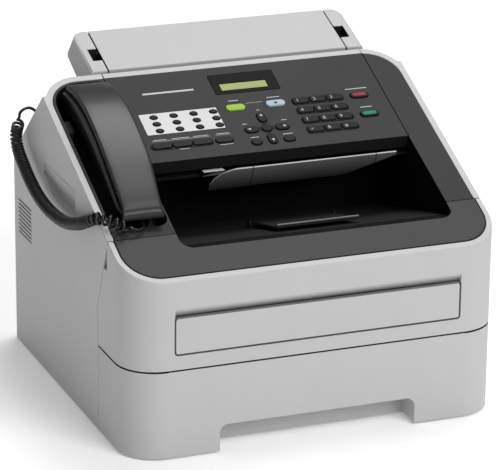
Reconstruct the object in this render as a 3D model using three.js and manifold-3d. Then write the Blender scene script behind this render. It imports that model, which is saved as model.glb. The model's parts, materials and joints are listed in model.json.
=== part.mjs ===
// A desktop laser fax machine with a corded handset, as an assembly of separate solids.
// Millimetres, +Z up, the front faces -Y. The origin is on the floor under the middle of the machine.
import * as THREE from 'three';
import { mergeVertices } from 'three/addons/utils/BufferGeometryUtils.js';
import { ConvexGeometry } from 'three/addons/geometries/ConvexGeometry.js';
import Module from 'manifold-3d';

const wasm = await Module();
wasm.setup();

// ---- Driving dimensions ----
const HALF_WIDTH = 184;
const FRONT = -175;
const BACK = 175;
const SKIN = 3;
const SEAM = 0.6;
const SKIRT_Z = 1.5;
const FAR = 400;

// The slanted top plane, which rises towards the back.
const TOP_ANGLE = THREE.MathUtils.degToRad(23.93);
const TOP_FRONT_Z = 170;
const TOP_BACK_Y = 90;
const RIM = 6.5;
const INLAY_FRONT = -168.1;
const INLAY_BACK = 83.6;
const CORNER = 38;
const BACK_CORNER = 14;

// The sloping back, which falls from the rim to the rear wall.
const BACK_SLOPE = Math.tan(THREE.MathUtils.degToRad(41));
const BACK_SLOPE_Z = 185;

// Seams between the front pieces and the rest.
const TRAY_TOP = 84.8;
const COVER_BOTTOM = 85.7;
const SIDE_SEAM_Y = -90;
const SIDE_SEAM_Z = 125;
const TOP_SEAM_Y = -118.9;
const TOP_SEAM_Z = 195;

// The output opening in the top, the control panel behind it and the handset well beside it.
const OPENING = { left: -118.6, right: 149.2, front: -137.8, radius: 12 };
const PANEL = { left: -117.8, right: 148.4, front: -31, thickness: 10 };
const DECK_DEPTH = 16;
const WELL = { left: -174.6, right: -120.2, front: -107, back: 81, depth: 24 };

const COLOUR = {
  lightGrey: 0xc4c4c4,
  rimGrey: 0xd6d6d6,
  darkGrey: 0x565656,
  black: 0x1c1c1c,
  keyBlack: 0x151515,
  rubber: 0x242424,
  green: 0xa6c83c,
  blue: 0xb8c8d8,
  red: 0xb8486a,
  teal: 0x209070,
  steel: 0xa8a8a8,
  drum: 0x2f6f6a,
  board: 0x2c5a3a,
};

// ---- Solids ----
function solidOf(geometry) {
  const bare = geometry.clone();
  bare.deleteAttribute('normal');
  bare.deleteAttribute('uv');
  const merged = mergeVertices(bare, 1e-4);
  const triVerts = merged.index
    ? new Uint32Array(merged.index.array)
    : Uint32Array.from({ length: merged.attributes.position.count }, (_, i) => i);
  return new wasm.Manifold(
    new wasm.Mesh({ numProp: 3, vertProperties: merged.attributes.position.array, triVerts }),
  );
}

function box(x0, x1, y0, y1, z0, z1) {
  const shape = new THREE.BoxGeometry(x1 - x0, y1 - y0, z1 - z0);
  return solidOf(shape.translate((x0 + x1) / 2, (y0 + y1) / 2, (z0 + z1) / 2));
}

function union(...solids) {
  return solids.reduce((sum, solid) => sum.add(solid));
}

const PLAN = new THREE.Matrix4();
// Local x, y and z become Y, Z and X: an outline of (y, z) points runs along X.
const ACROSS = new THREE.Matrix4().makeBasis(
  new THREE.Vector3(0, 1, 0),
  new THREE.Vector3(0, 0, 1),
  new THREE.Vector3(1, 0, 0),
);
// Local x and y become X and Z: an outline of (x, z) points runs along -Y.
const FACING = new THREE.Matrix4().makeBasis(
  new THREE.Vector3(1, 0, 0),
  new THREE.Vector3(0, 0, 1),
  new THREE.Vector3(0, -1, 0),
);
// The panel frame: x across, y up the slope from the front edge of the top, z along its normal.
const ON_TOP = new THREE.Matrix4()
  .makeTranslation(0, FRONT, TOP_FRONT_Z)
  .multiply(new THREE.Matrix4().makeRotationX(TOP_ANGLE));

function extrude(outline, from, to, matrix = PLAN, curveSegments = 5) {
  const shape = new THREE.ExtrudeGeometry(outline, {
    depth: to - from,
    bevelEnabled: false,
    curveSegments,
  });
  return solidOf(shape.translate(0, 0, from).applyMatrix4(matrix));
}

function polygon(points) {
  return new THREE.Shape(points.map(([x, y]) => new THREE.Vector2(x, y)));
}

// An outline of (y, z) points, from x0 to x1.
function across(points, x0, x1) {
  return extrude(polygon(points), x0, x1, ACROSS);
}

// A rectangle with one radius for each corner: front left, front right, back right, back left.
function roundedRect(x0, x1, y0, y1, radii) {
  const [a, b, c, d] = Array.isArray(radii) ? radii : [radii, radii, radii, radii];
  const shape = new THREE.Shape();
  shape.moveTo(x0 + a, y0);
  shape.lineTo(x1 - b, y0);
  shape.absarc(x1 - b, y0 + b, b, -Math.PI / 2, 0, false);
  shape.lineTo(x1, y1 - c);
  shape.absarc(x1 - c, y1 - c, c, 0, Math.PI / 2, false);
  shape.lineTo(x0 + d, y1);
  shape.absarc(x0 + d, y1 - d, d, Math.PI / 2, Math.PI, false);
  shape.lineTo(x0, y0 + a);
  shape.absarc(x0 + a, y0 + a, a, Math.PI, Math.PI * 1.5, false);
  return shape;
}

function ellipse(x, y, rx, ry) {
  const shape = new THREE.Shape();
  shape.absellipse(x, y, rx, ry, 0, Math.PI * 2, false);
  return shape;
}

function cylinderX(radius, x0, x1, y, z, sides = 20) {
  const shape = new THREE.CylinderGeometry(radius, radius, x1 - x0, sides);
  return solidOf(shape.rotateZ(Math.PI / 2).translate((x0 + x1) / 2, y, z));
}

const group = new THREE.Group();
group.name = 'fax_machine';

function addNode(name, solid, color, roughness = 0.55, metalness = 0) {
  const data = solid.getMesh();
  const geometry = new THREE.BufferGeometry();
  geometry.setAttribute('position', new THREE.BufferAttribute(data.vertProperties, 3));
  geometry.setIndex(new THREE.BufferAttribute(data.triVerts, 1));
  const material = new THREE.MeshStandardMaterial({ color, roughness, metalness });
  const mesh = new THREE.Mesh(geometry, material);
  mesh.name = name;
  group.add(mesh);
}

// ---- The top plane ----
const TOP_SLOPE = Math.tan(TOP_ANGLE);
const UPRIGHT_PER_NORMAL = 1 / Math.cos(TOP_ANGLE);

// Height of the plane that lies "below" millimetres under the top, at a given y.
function topZ(y, below = 0) {
  return TOP_FRONT_Z + TOP_SLOPE * (y - FRONT) - below * UPRIGHT_PER_NORMAL;
}

// Everything between two depths under the top plane.
function underTop(shallow, deep) {
  const points = [
    [-FAR, topZ(-FAR, shallow)],
    [-FAR, topZ(-FAR, deep)],
    [FAR, topZ(FAR, deep)],
    [FAR, topZ(FAR, shallow)],
  ];
  return across(points, -FAR, FAR);
}

// ---- The outer form and the shell cut from it ----
function backSlopeZ(y, inset = 0) {
  return BACK_SLOPE_Z + BACK_SLOPE * (BACK - y) - inset * Math.hypot(1, BACK_SLOPE);
}

function form(inset) {
  const side = HALF_WIDTH - inset;
  const back = BACK - inset;
  const floor = inset > 0 ? -10 : SKIRT_Z;
  const lowPlan = roundedRect(-side, side, FRONT + inset, back, [
    CORNER - inset,
    CORNER - inset,
    BACK_CORNER - inset,
    BACK_CORNER - inset,
  ]);
  const lowProfile = [
    [FRONT - 5, floor],
    [back, floor],
    [back, backSlopeZ(back, inset) - 4],
    [back - 3, backSlopeZ(back - 3, inset)],
    [-FAR, backSlopeZ(-FAR, inset)],
    [FRONT - 5, FAR],
  ];
  const low = extrude(lowPlan, -20, FAR).intersect(across(lowProfile, -FAR, FAR));
  const highPlan = roundedRect(-side, side, FRONT + inset, TOP_BACK_Y - inset, CORNER - inset);
  const high = extrude(highPlan, 120, FAR);
  return union(low, high).subtract(underTop(-FAR, inset));
}

const shell = form(0).subtract(form(SKIN));

function inlay(gap) {
  const side = HALF_WIDTH - RIM - gap;
  const plan = roundedRect(-side, side, INLAY_FRONT + gap, INLAY_BACK - gap, CORNER - RIM - gap);
  return extrude(plan, 100, FAR);
}

// The zone of the front pieces, ahead of the side seam.
function frontZone(gap) {
  const points = [
    [-FAR, -50],
    [SIDE_SEAM_Y + gap, -50],
    [SIDE_SEAM_Y + gap, SIDE_SEAM_Z],
    [TOP_SEAM_Y + gap, TOP_SEAM_Z],
    [TOP_SEAM_Y + gap, FAR],
    [-FAR, FAR],
  ];
  return across(points, -FAR, FAR);
}

const openingPlan = roundedRect(OPENING.left, OPENING.right, OPENING.front, 120, [
  OPENING.radius,
  OPENING.radius,
  1,
  1,
]);
const openingHole = extrude(openingPlan, 0, FAR);

// ---- Side covers ----
const GRIP = { y0: -27, y1: 69, z0: 191, z1: 214, depth: 5, wall: 1.6 };

function gripPocket(sign) {
  const outline = [
    [GRIP.y0, GRIP.z0 + 1],
    [GRIP.y1 - 30, GRIP.z0],
    [GRIP.y1, GRIP.z0 + 12],
    [GRIP.y1 - 2, GRIP.z1],
    [GRIP.y0, GRIP.z1],
  ];
  const cut = across(outline, -FAR, FAR);
  // The pocket is shallow at its upper edge and deepest along its lower one.
  const deep = HALF_WIDTH - GRIP.depth;
  const ramp = polygon([
    [sign * HALF_WIDTH, GRIP.z1 + 1],
    [sign * deep, GRIP.z0 + 5],
    [sign * deep, GRIP.z0 - 1],
    [sign * (HALF_WIDTH + 6), GRIP.z0 - 1],
    [sign * (HALF_WIDTH + 6), GRIP.z1 + 1],
  ]);
  return cut.intersect(extrude(ramp, -100, 100, FACING));
}

const VENT = { y0: 109.5, y1: 150.5, z0: 117.5, pitch: 4.1, slot: 1.7, count: 9 };

// The corner zones that belong to the side covers: the outer strip and the rim round the back.
function sideZone(sign, gap) {
  const panelEdge = sign < 0 ? PANEL.left : PANEL.right;
  const edge = Math.abs(panelEdge) + gap + SEAM / 2;
  const strip = 165 + gap;
  const low = sign < 0 ? box(-FAR, -strip, -FAR, FAR, -5, FAR) : box(strip, FAR, -FAR, FAR, -5, FAR);
  const high = sign < 0 ? box(-FAR, -edge, -FAR, 91, 230, FAR) : box(edge, FAR, -FAR, 91, 230, FAR);
  return union(low, high);
}

const JACK_HOLE = { x: -173.5, y: 112, half: 7 };
const BACK_SLOPE_FRAME = new THREE.Matrix4()
  .makeTranslation(JACK_HOLE.x, JACK_HOLE.y, backSlopeZ(JACK_HOLE.y))
  .multiply(new THREE.Matrix4().makeRotationX(-Math.atan(BACK_SLOPE)));

function onBackSlope(halfX, halfY, z0, z1) {
  return extrude(roundedRect(-halfX, halfX, -halfY, halfY, 1), z0, z1, BACK_SLOPE_FRAME, 2);
}

function sideCover(sign) {
  let cover = shell.intersect(sideZone(sign, 0.2));
  const outer = sign * (HALF_WIDTH - 1);
  const inner = sign * (HALF_WIDTH - GRIP.depth - GRIP.wall);
  const pocketBack = box(Math.min(outer, inner), Math.max(outer, inner), GRIP.y0 - 2.5,
    GRIP.y1 + 2.5, GRIP.z0 - 2.5, GRIP.z1 + 1);
  cover = cover.add(pocketBack.subtract(underTop(-FAR, SKIN))).subtract(gripPocket(sign));
  cover = cover.subtract(inlay(-0.2).intersect(underTop(-50, 12)));
  cover = cover.subtract(frontZone(SEAM));
  if (sign < 0) {
    for (let i = 0; i < VENT.count; i += 1) {
      const z = VENT.z0 + VENT.pitch * i;
      cover = cover.subtract(box(-FAR, -HALF_WIDTH + SKIN + 1, VENT.y0, VENT.y1, z, z + VENT.slot));
    }
    cover = cover.subtract(onBackSlope(JACK_HOLE.half, JACK_HOLE.half - 1, -20, 5));
  }
  return cover;
}

addNode('left_side_cover', sideCover(-1), COLOUR.lightGrey);
addNode('right_side_cover', sideCover(1), COLOUR.lightGrey);

// ---- Rear housing, rear cover ----
const REAR_DOOR = { half: 110, z0: 98, z1: 166 };
const INLET = { x0: 135, x1: 162, z0: 25, z1: 47 };
const LINE_JACK = { xs: [-150, -132], half: 7, z0: 25, z1: 43 };

function rearHousing() {
  let housing = shell
    .intersect(box(-FAR, FAR, 40, FAR, 0, FAR))
    .subtract(sideZone(-1, -0.2))
    .subtract(sideZone(1, -0.2))
    .subtract(inlay(-0.2))
    .subtract(box(PANEL.left - 1, PANEL.right + 1, 40, 91, topZ(TOP_BACK_Y, DECK_DEPTH), FAR));
  const door = REAR_DOOR;
  housing = housing.subtract(box(-door.half, door.half, 150, 200, door.z0, door.z1));
  housing = housing.subtract(
    box(INLET.x0 - 0.4, INLET.x1 + 0.4, 150, 200, INLET.z0 - 0.4, INLET.z1 + 0.4),
  );
  for (const x of LINE_JACK.xs) {
    const half = LINE_JACK.half + 0.4;
    housing = housing.subtract(
      box(x - half, x + half, 150, 200, LINE_JACK.z0 - 0.4, LINE_JACK.z1 + 0.4),
    );
  }
  return housing;
}

addNode('rear_housing', rearHousing(), COLOUR.lightGrey);

function rearCover() {
  const gap = 0.5;
  const plate = box(-REAR_DOOR.half + gap, REAR_DOOR.half - gap, BACK - SKIN, BACK,
    REAR_DOOR.z0 + gap, REAR_DOOR.z1 - gap);
  const pull = box(-25, 25, BACK - 1.5, BACK + 5, REAR_DOOR.z1 - 14, REAR_DOOR.z1 - 4);
  let cover = plate.subtract(pull);
  for (const x of [-100, 0, 100]) {
    cover = cover.add(box(x - 1.5, x + 1.5, BACK - 9, BACK - 2, REAR_DOOR.z0 + 6, REAR_DOOR.z1 - 6));
  }
  return cover;
}

addNode('rear_cover', rearCover(), COLOUR.lightGrey);

// ---- Base frame and feet ----
const BAY = { half: 118, back: 163, wall: 3 };
const DECK_Z = 86.6;
const FRAME_HALF = 180.4;
const FRAME_FRONT = -86;
const FRAME_BACK = 171.2;
const FOOT = { radius: 9, x: 160, front: -70, back: 150 };
const ENGINE = { inner: 120, thick: 3, front: -66, back: 130, top: 131.7 };
const DRUM = { radius: 12, shaft: 4, y: 24, z: 112 };
const FUSER = { radius: 12.5, shaft: 4, y: 112, z: 116 };
const PICKUP = { radius: 11, shaft: 3, y: -63, z: 72 };

function baseFrame() {
  const plan = roundedRect(-FRAME_HALF, FRAME_HALF, FRAME_FRONT, FRAME_BACK, [1, 1, 11, 11]);
  const floor = extrude(plan, SKIRT_Z, SKIRT_Z + 3.5, PLAN, 3)
    .subtract(box(-90, 90, FRAME_FRONT - 5, 100, -5, 20));
  const deck = extrude(plan, DECK_Z, DECK_Z + 4, PLAN, 3)
    .subtract(box(-30, 30, -75, -52, 80, 95));
  const wall = BAY.wall;
  const walls = [-1, 1].map((sign) => {
    const inner = sign * BAY.half;
    const outer = sign * (BAY.half + wall);
    return box(Math.min(inner, outer), Math.max(inner, outer), FRAME_FRONT + 1, FRAME_BACK - 1,
      SKIRT_Z + 1, DECK_Z + 2);
  });
  const stop = box(-BAY.half - 1, BAY.half + 1, BAY.back, BAY.back + wall, SKIRT_Z + 1, DECK_Z + 2);
  // Side plates hold the drum, the fuser roller and the laser unit; ears hold the pickup roller.
  const plates = [-1, 1].map((sign) => {
    const inner = sign * ENGINE.inner;
    const outer = sign * (ENGINE.inner + ENGINE.thick);
    return box(Math.min(inner, outer), Math.max(inner, outer), ENGINE.front, ENGINE.back,
      DECK_Z + 1, ENGINE.top);
  });
  const ears = [-56, 52].map((x) => box(x, x + 4, PICKUP.y - 7, PICKUP.y + 7, PICKUP.z - 8, DECK_Z + 1));
  let frame = union(floor, deck, ...walls, stop, ...plates, ...ears);
  for (const roller of [DRUM, FUSER, PICKUP]) {
    frame = frame.subtract(cylinderX(roller.shaft + 0.3, -130, 130, roller.y, roller.z, 12));
  }
  for (const [x, y] of footPlaces()) {
    const pocket = new THREE.CylinderGeometry(FOOT.radius + 0.3, FOOT.radius + 0.3, 4, 16);
    frame = frame.subtract(solidOf(pocket.rotateX(Math.PI / 2).translate(x, y, 1)));
  }
  return frame;
}

function footPlaces() {
  return [
    [-FOOT.x, FOOT.front],
    [FOOT.x, FOOT.front],
    [-FOOT.x, FOOT.back],
    [FOOT.x, FOOT.back],
  ];
}

addNode('base_frame', baseFrame(), COLOUR.black);

footPlaces().forEach(([x, y], i) => {
  const pad = new THREE.CylinderGeometry(FOOT.radius, FOOT.radius, 2.8, 16);
  const name = ['foot_front_left', 'foot_front_right', 'foot_rear_left', 'foot_rear_right'][i];
  addNode(name, solidOf(pad.rotateX(Math.PI / 2).translate(x, y, 1.4)), COLOUR.rubber, 0.9);
});

// ---- Paper tray ----
const NOTCH = { half: 96.3, top: 27, radius: 8, back: -148.5 };
const BIN = { half: 112, front: -147, back: 159, floor: 5.3, top: 50, wall: 2.5 };

function paperTray() {
  const outer = shell.intersect(frontZone(0)).intersect(box(-FAR, FAR, -FAR, FAR, -5, TRAY_TOP));
  const ledge = form(1)
    .intersect(box(-FAR, FAR, -FAR, -147.5, TRAY_TOP - 3, TRAY_TOP));
  const backPlate = box(-165, 165, -149, -146, BIN.floor - 1, TRAY_TOP - 1);
  const notchBlock = box(-NOTCH.half - 3, NOTCH.half + 3, FRONT + 1, NOTCH.back + 3,
    SKIRT_Z + 1, NOTCH.top + 2.5);
  const notchShape = roundedRect(-NOTCH.half, NOTCH.half, -20, NOTCH.top,
    [1, 1, NOTCH.radius, NOTCH.radius]);
  const notch = extrude(notchShape, -NOTCH.back, 200, FACING);
  const bin = box(-BIN.half, BIN.half, BIN.front, BIN.back, BIN.floor, BIN.top);
  const hollow = box(-BIN.half + BIN.wall, BIN.half - BIN.wall, BIN.front + 3, BIN.back - BIN.wall,
    BIN.floor + BIN.wall, FAR);
  return union(outer, ledge, backPlate, notchBlock, bin).subtract(hollow).subtract(notch);
}

addNode('paper_tray', paperTray(), COLOUR.lightGrey);

// ---- Front cover with the manual feed flap ----
const FEED = { half: 139.9, z0: 100.2, z1: 135.9, radius: 3, gap: 0.8, recess: 4.6 };
const LEDGE_DROP = 1.6;

function frontCover() {
  const skin = shell.intersect(frontZone(0)).intersect(box(-FAR, FAR, -FAR, FAR, COVER_BOTTOM, FAR));
  const innerY = OPENING.front - SKIN;
  const backY = TOP_SEAM_Y;
  const rimZ = topZ(OPENING.front);
  const block = across([
    [innerY, rimZ - 6],
    [backY, rimZ - 8],
    [backY, topZ(backY, 1)],
    [innerY, topZ(innerY, 1)],
  ], OPENING.left - SKIN, OPENING.right + SKIN);
  const above = across([
    [-FAR, rimZ - LEDGE_DROP],
    [OPENING.front, rimZ - LEDGE_DROP],
    [backY + 5, rimZ - LEDGE_DROP - 2.5],
    [backY + 5, FAR],
    [-FAR, FAR],
  ], -FAR, FAR);
  const slot = extrude(roundedRect(-FEED.half, FEED.half, FEED.z0, FEED.z1, FEED.radius),
    150, 200, FACING, 3);
  // A finger recess runs along the flap's upper edge, deepest at the flap.
  const scoop = across([
    [FRONT - 1, FEED.z1 - 3],
    [FRONT + FEED.recess, FEED.z1 - 3],
    [FRONT + FEED.recess, FEED.z1],
    [FRONT + 0.5 * FEED.recess, FEED.z1 + 4],
    [FRONT + 0.15 * FEED.recess, FEED.z1 + 6.5],
    [FRONT - 0.1, FEED.z1 + 9],
    [FRONT - 1, FEED.z1 + 9],
  ], -FEED.half, FEED.half);
  const rib = box(-FEED.half - 2.4, FEED.half + 2.4, FRONT + 2, FRONT + FEED.recess + 2.4,
    FEED.z1 - 4, FEED.z1 + 12);
  const gripNotch = box(-FAR, FAR, TOP_SEAM_Y + 3, -104, 167, 188)
    .subtract(box(-HALF_WIDTH + 5, HALF_WIDTH - 5, -FAR, FAR, -FAR, FAR));
  return skin
    .add(block)
    .add(rib)
    .subtract(openingHole.intersect(above))
    .subtract(slot)
    .subtract(scoop)
    .subtract(gripNotch);
}

addNode('front_cover', frontCover(), COLOUR.lightGrey);

function manualFeedFlap() {
  const { gap } = FEED;
  const outline = roundedRect(-FEED.half + gap, FEED.half - gap, FEED.z0 + gap, FEED.z1 - gap,
    FEED.radius - gap);
  return extrude(outline, -FRONT - SKIN + 0.2, -FRONT, FACING, 3);
}

addNode('manual_feed_flap', manualFeedFlap(), COLOUR.lightGrey);

// ---- Top housing: dark strips, handset well, output bay and document deck ----
const FLOOR_FRONT_Z = topZ(OPENING.front) - LEDGE_DROP - 2.8;
const FLOOR_BACK = { y: 42, z: 142 };
const WALL = 2.4;
const SCOOP = { left: -54, right: 134, lipY: -38.5, lipZ: 221.6, heelY: -29, heelZ: 200.5 };
const LEDGE = { left: -62, right: -41, y0: -39.5, y1: -32, z0: 221.3, z1: 222.4 };
const EXIT_FLAP = { left: -12, right: 113 };

function bayPlates() {
  const y0 = TOP_SEAM_Y + SEAM;
  const y1 = FLOOR_BACK.y;
  const side = [
    [y0, FLOOR_FRONT_Z - WALL],
    [y1, FLOOR_BACK.z - WALL],
    [y1 + WALL, FLOOR_BACK.z - WALL],
    [y1 + WALL, topZ(y1, DECK_DEPTH + WALL)],
    [80, topZ(80, DECK_DEPTH + WALL)],
    [80, topZ(80, 1)],
    [y0, topZ(y0, 1)],
  ];
  const leftWall = across(side, OPENING.left - WALL, OPENING.left);
  const rightWall = across(side, OPENING.right, OPENING.right + WALL);
  const x0 = OPENING.left - 1;
  const x1 = OPENING.right + 1;
  const floor = across([
    [y0, FLOOR_FRONT_Z],
    [y0, FLOOR_FRONT_Z - WALL],
    [y1, FLOOR_BACK.z - WALL],
    [y1, FLOOR_BACK.z],
  ], x0, x1);
  const backWall = across([
    [y1, FLOOR_BACK.z - WALL],
    [y1 + WALL, FLOOR_BACK.z - WALL],
    [y1 + WALL, topZ(y1, DECK_DEPTH + 1)],
    [y1, topZ(y1, DECK_DEPTH + 1)],
  ], x0, x1);
  const deckFront = PANEL.front + 2;
  const deck = across([
    [deckFront, topZ(deckFront, DECK_DEPTH + WALL)],
    [80, topZ(80, DECK_DEPTH + WALL)],
    [80, topZ(80, DECK_DEPTH)],
    [deckFront, topZ(deckFront, DECK_DEPTH)],
  ], x0, x1);
  return union(leftWall, rightWall, floor, backWall, deck);
}

// The document scoop seen from the front: rounded at its left end, tapering to a point at its right.
function scoopFront() {
  const lip = SCOOP.lipZ + 2;
  const outline = polygon([
    [SCOOP.left, SCOOP.heelZ - 2],
    [SCOOP.left - 1, SCOOP.heelZ + 4],
    [SCOOP.left + 4, SCOOP.heelZ + 12],
    [SCOOP.left + 11, SCOOP.lipZ - 3.5],
    [SCOOP.left + 20, SCOOP.lipZ - 0.6],
    [SCOOP.left + 32, lip],
    [SCOOP.right, lip],
    [SCOOP.right, SCOOP.lipZ - 3.5],
    [EXIT_FLAP.right - 2, SCOOP.heelZ + 10],
    [EXIT_FLAP.right - 26, SCOOP.heelZ + 2],
    [EXIT_FLAP.right - 50, SCOOP.heelZ - 2],
  ]);
  return extrude(outline, -100, 100, FACING);
}

// The fixed ends of the document scoop, either side of its flap, each with a web up to the deck.
function scoopEnd(x0, x1, webX) {
  const face = across([
    [SCOOP.lipY, SCOOP.lipZ],
    [SCOOP.heelY, SCOOP.heelZ],
    [SCOOP.heelY + 4, SCOOP.heelZ],
    [SCOOP.lipY + 2.2, SCOOP.lipZ + 0.6],
  ], x0, x1);
  const web = across([
    [SCOOP.lipY + 3.2, SCOOP.lipZ - 4],
    [SCOOP.heelY, SCOOP.lipZ - 14],
    [SCOOP.heelY + 5, SCOOP.lipZ - 14],
    [SCOOP.heelY + 5, topZ(SCOOP.heelY + 5, DECK_DEPTH + 0.5)],
  ], webX, webX + 3);
  return union(face.intersect(scoopFront()), web);
}

// A short fixed ledge beside the scoop, hung from the deck.
function scoopLedge() {
  const y = SCOOP.heelY + 3;
  return across([
    [LEDGE.y0, LEDGE.z0],
    [LEDGE.y1 - 1.6, LEDGE.z0],
    [LEDGE.y1 - 1.6, topZ(y, DECK_DEPTH + WALL) + 0.3],
    [y, topZ(y, DECK_DEPTH + WALL) + 0.3],
    [y, topZ(y, DECK_DEPTH) - 0.3],
    [LEDGE.y1, topZ(y, DECK_DEPTH) - 0.3],
    [LEDGE.y1, LEDGE.z1],
    [LEDGE.y0, LEDGE.z1],
  ], LEDGE.left, LEDGE.right);
}

const OUT_FLAP = { left: -12, right: 70, front: -94, back: -30, lift: 3 };

// Height of the output bay's floor at a given y.
function floorZ(y) {
  const y0 = TOP_SEAM_Y + SEAM;
  const share = (y - y0) / (FLOOR_BACK.y - y0);
  return FLOOR_FRONT_Z + (FLOOR_BACK.z - FLOOR_FRONT_Z) * share;
}

function wellBlock() {
  const outline = roundedRect(-HALF_WIDTH + RIM + 0.2, OPENING.left, WELL.front - WALL, INLAY_BACK - 0.2,
    [10, 2, 2, CORNER - RIM - 0.2]);
  const hollow = roundedRect(WELL.left, WELL.right, WELL.front, WELL.back,
    [10, 10, 6, CORNER - RIM - 3]);
  const block = extrude(outline, 0, FAR).intersect(underTop(1, WELL.depth + WALL));
  const pocket = extrude(hollow, 0, FAR).intersect(underTop(-50, WELL.depth));
  return { block, pocket };
}

function topHousing() {
  const top = shell.intersect(inlay(0.2)).subtract(openingHole);
  const well = wellBlock();
  const ears = [OUT_FLAP.left - 3.2, OUT_FLAP.right + 0.6].map((x) => across([
    [-38, floorZ(-38) - 1],
    [OUT_FLAP.back, floorZ(OUT_FLAP.back) - 1],
    [OUT_FLAP.back, floorZ(OUT_FLAP.back) + 7],
    [-35, floorZ(-35) + 7],
  ], x, x + 2.6));
  return union(top, well.block, bayPlates(), ...ears)
    .add(scoopEnd(SCOOP.left, EXIT_FLAP.left - 0.5, EXIT_FLAP.left - 20))
    .add(scoopEnd(EXIT_FLAP.right + 0.5, SCOOP.right, EXIT_FLAP.right + 1.5))
    .add(scoopLedge())
    .subtract(well.pocket)
    .subtract(frontZone(SEAM));
}

addNode('top_housing', topHousing(), COLOUR.darkGrey);

function documentExitFlap() {
  const hingeZ = SCOOP.heelZ + 0.5;
  const plate = across([
    [SCOOP.lipY, SCOOP.lipZ],
    [SCOOP.heelY, hingeZ],
    [SCOOP.heelY + 2.4, hingeZ + 0.4],
    [SCOOP.lipY + 2.2, SCOOP.lipZ + 0.6],
  ], EXIT_FLAP.left, EXIT_FLAP.right);
  return plate.intersect(scoopFront());
}

addNode('document_exit_flap', documentExitFlap(), COLOUR.black);

function outputFlap() {
  const at = (y, rise) => [y, floorZ(y) + OUT_FLAP.lift + rise];
  const front = OUT_FLAP.front;
  const back = OUT_FLAP.back;
  const plate = across([at(front, 0), at(back, 0), at(back, 2.4), at(front, 2.4)],
    OUT_FLAP.left, OUT_FLAP.right);
  const lip = across([at(front - 4, 0.6), at(front, 0), at(front, 2.4), at(front - 4, 4.2)],
    OUT_FLAP.left, OUT_FLAP.right);
  return plate.add(lip);
}

addNode('output_support_flap', outputFlap(), COLOUR.black);

// ---- Control panel, display and keys ----
const ROWS = [222, 208, 193.8, 179.7];
const DIAL_X = [61.6, 79.1, 96.6];
const DIAL_NAMES = [
  ['key_1', 'key_2', 'key_3'],
  ['key_4', 'key_5', 'key_6'],
  ['key_7', 'key_8', 'key_9'],
  ['key_star', 'key_0', 'key_hash'],
];
const NAV = { x: 15, s: 188.6 };
const KEY_CLEARANCE = 0.4;
const KEY_PROUD = 1.6;
const POCKET_DEPTH = 7;
const KEY_BOTTOM = -5.2;

const dialKeys = DIAL_NAMES.flatMap((names, row) =>
  names.map((name, column) => ({
    name,
    x: DIAL_X[column],
    s: ROWS[row],
    halfX: 8.1,
    halfS: 3.9,
    color: COLOUR.keyBlack,
  })),
);

const roundKeys = [
  { name: 'key_ok', x: NAV.x, s: NAV.s, halfX: 5.4, halfS: 4.6, color: COLOUR.keyBlack },
  { name: 'key_up', x: NAV.x, s: NAV.s + 15.6, halfX: 4.4, halfS: 7, color: COLOUR.keyBlack },
  { name: 'key_down', x: NAV.x, s: NAV.s - 15.6, halfX: 4.4, halfS: 7, color: COLOUR.keyBlack },
  { name: 'key_left', x: NAV.x - 15.6, s: NAV.s, halfX: 7, halfS: 4.4, color: COLOUR.keyBlack },
  { name: 'key_right', x: NAV.x + 15.6, s: NAV.s, halfX: 7, halfS: 4.4, color: COLOUR.keyBlack },
  { name: 'key_menu', x: -1.4, s: 170.8, halfX: 5.4, halfS: 4.2, color: COLOUR.keyBlack },
  { name: 'key_clear', x: 31.7, s: 170.8, halfX: 6, halfS: 4, color: COLOUR.keyBlack },
];

const wideKeys = [
  { name: 'key_mode_fax', x: -5.2, s: 222, halfX: 9.8, halfS: 4.2, color: COLOUR.green },
  { name: 'key_mode_copy', x: 35.7, s: 222.5, halfX: 9.8, halfS: 4.2, color: COLOUR.blue },
  { name: 'key_stop', x: 122.5, s: 222, halfX: 9.6, halfS: 4.2, color: COLOUR.red },
  { name: 'key_start', x: 122.5, s: 194, halfX: 9.6, halfS: 4.2, color: COLOUR.teal },
];

function capsule({ x, s, halfX, halfS }, grow = 0) {
  const radius = Math.min(halfX, halfS) + grow;
  return roundedRect(x - halfX - grow, x + halfX + grow, s - halfS - grow, s + halfS + grow,
    radius - 0.05);
}

function dialShape({ x, s, halfX, halfS }, grow = 0) {
  return roundedRect(x - halfX - grow, x + halfX + grow, s - halfS - grow, s + halfS + grow,
    2 + grow);
}

// Keys that share one moulded rubber mat behind the panel.
const ONE_TOUCH = { xs: [-88.4, -68.4, -48.4, -28.6], ss: [200.4, 210.2, 219.9], rx: 3.8, rs: 3 };
const FUNCTION_S = 178.6;
const functionKeys = [
  { x: -93.6, s: FUNCTION_S, halfX: 9.8, halfS: 3.4 },
  { x: -73.4, s: FUNCTION_S, halfX: 9.8, halfS: 3.4 },
  { x: -53.2, s: FUNCTION_S, halfX: 9.8, halfS: 3.4 },
  { x: -31.3, s: FUNCTION_S, halfX: 9, halfS: 3.6 },
];
const MAT = { web: -7.4, thick: 1, roof: -4 };
const ONE_TOUCH_MAT = { x0: -98, x1: -19, s0: 194, s1: 226 };
const FUNCTION_MAT = { x0: -106, x1: -20, s0: 172, s1: 185.2 };
const DISPLAY = { x0: -17.5, x1: 48.8, s0: 243, s1: 272, thick: 3.2 };
const LCD = { x0: -9.5, x1: 38, s0: 248.6, s1: 258.4 };

const eachOneTouch = ONE_TOUCH.ss.flatMap((s) => ONE_TOUCH.xs.map((x) => ({ x, s })));

function matCavity(mat) {
  return extrude(roundedRect(mat.x0, mat.x1, mat.s0, mat.s1, 2), -20, MAT.roof, ON_TOP, 2);
}

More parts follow.
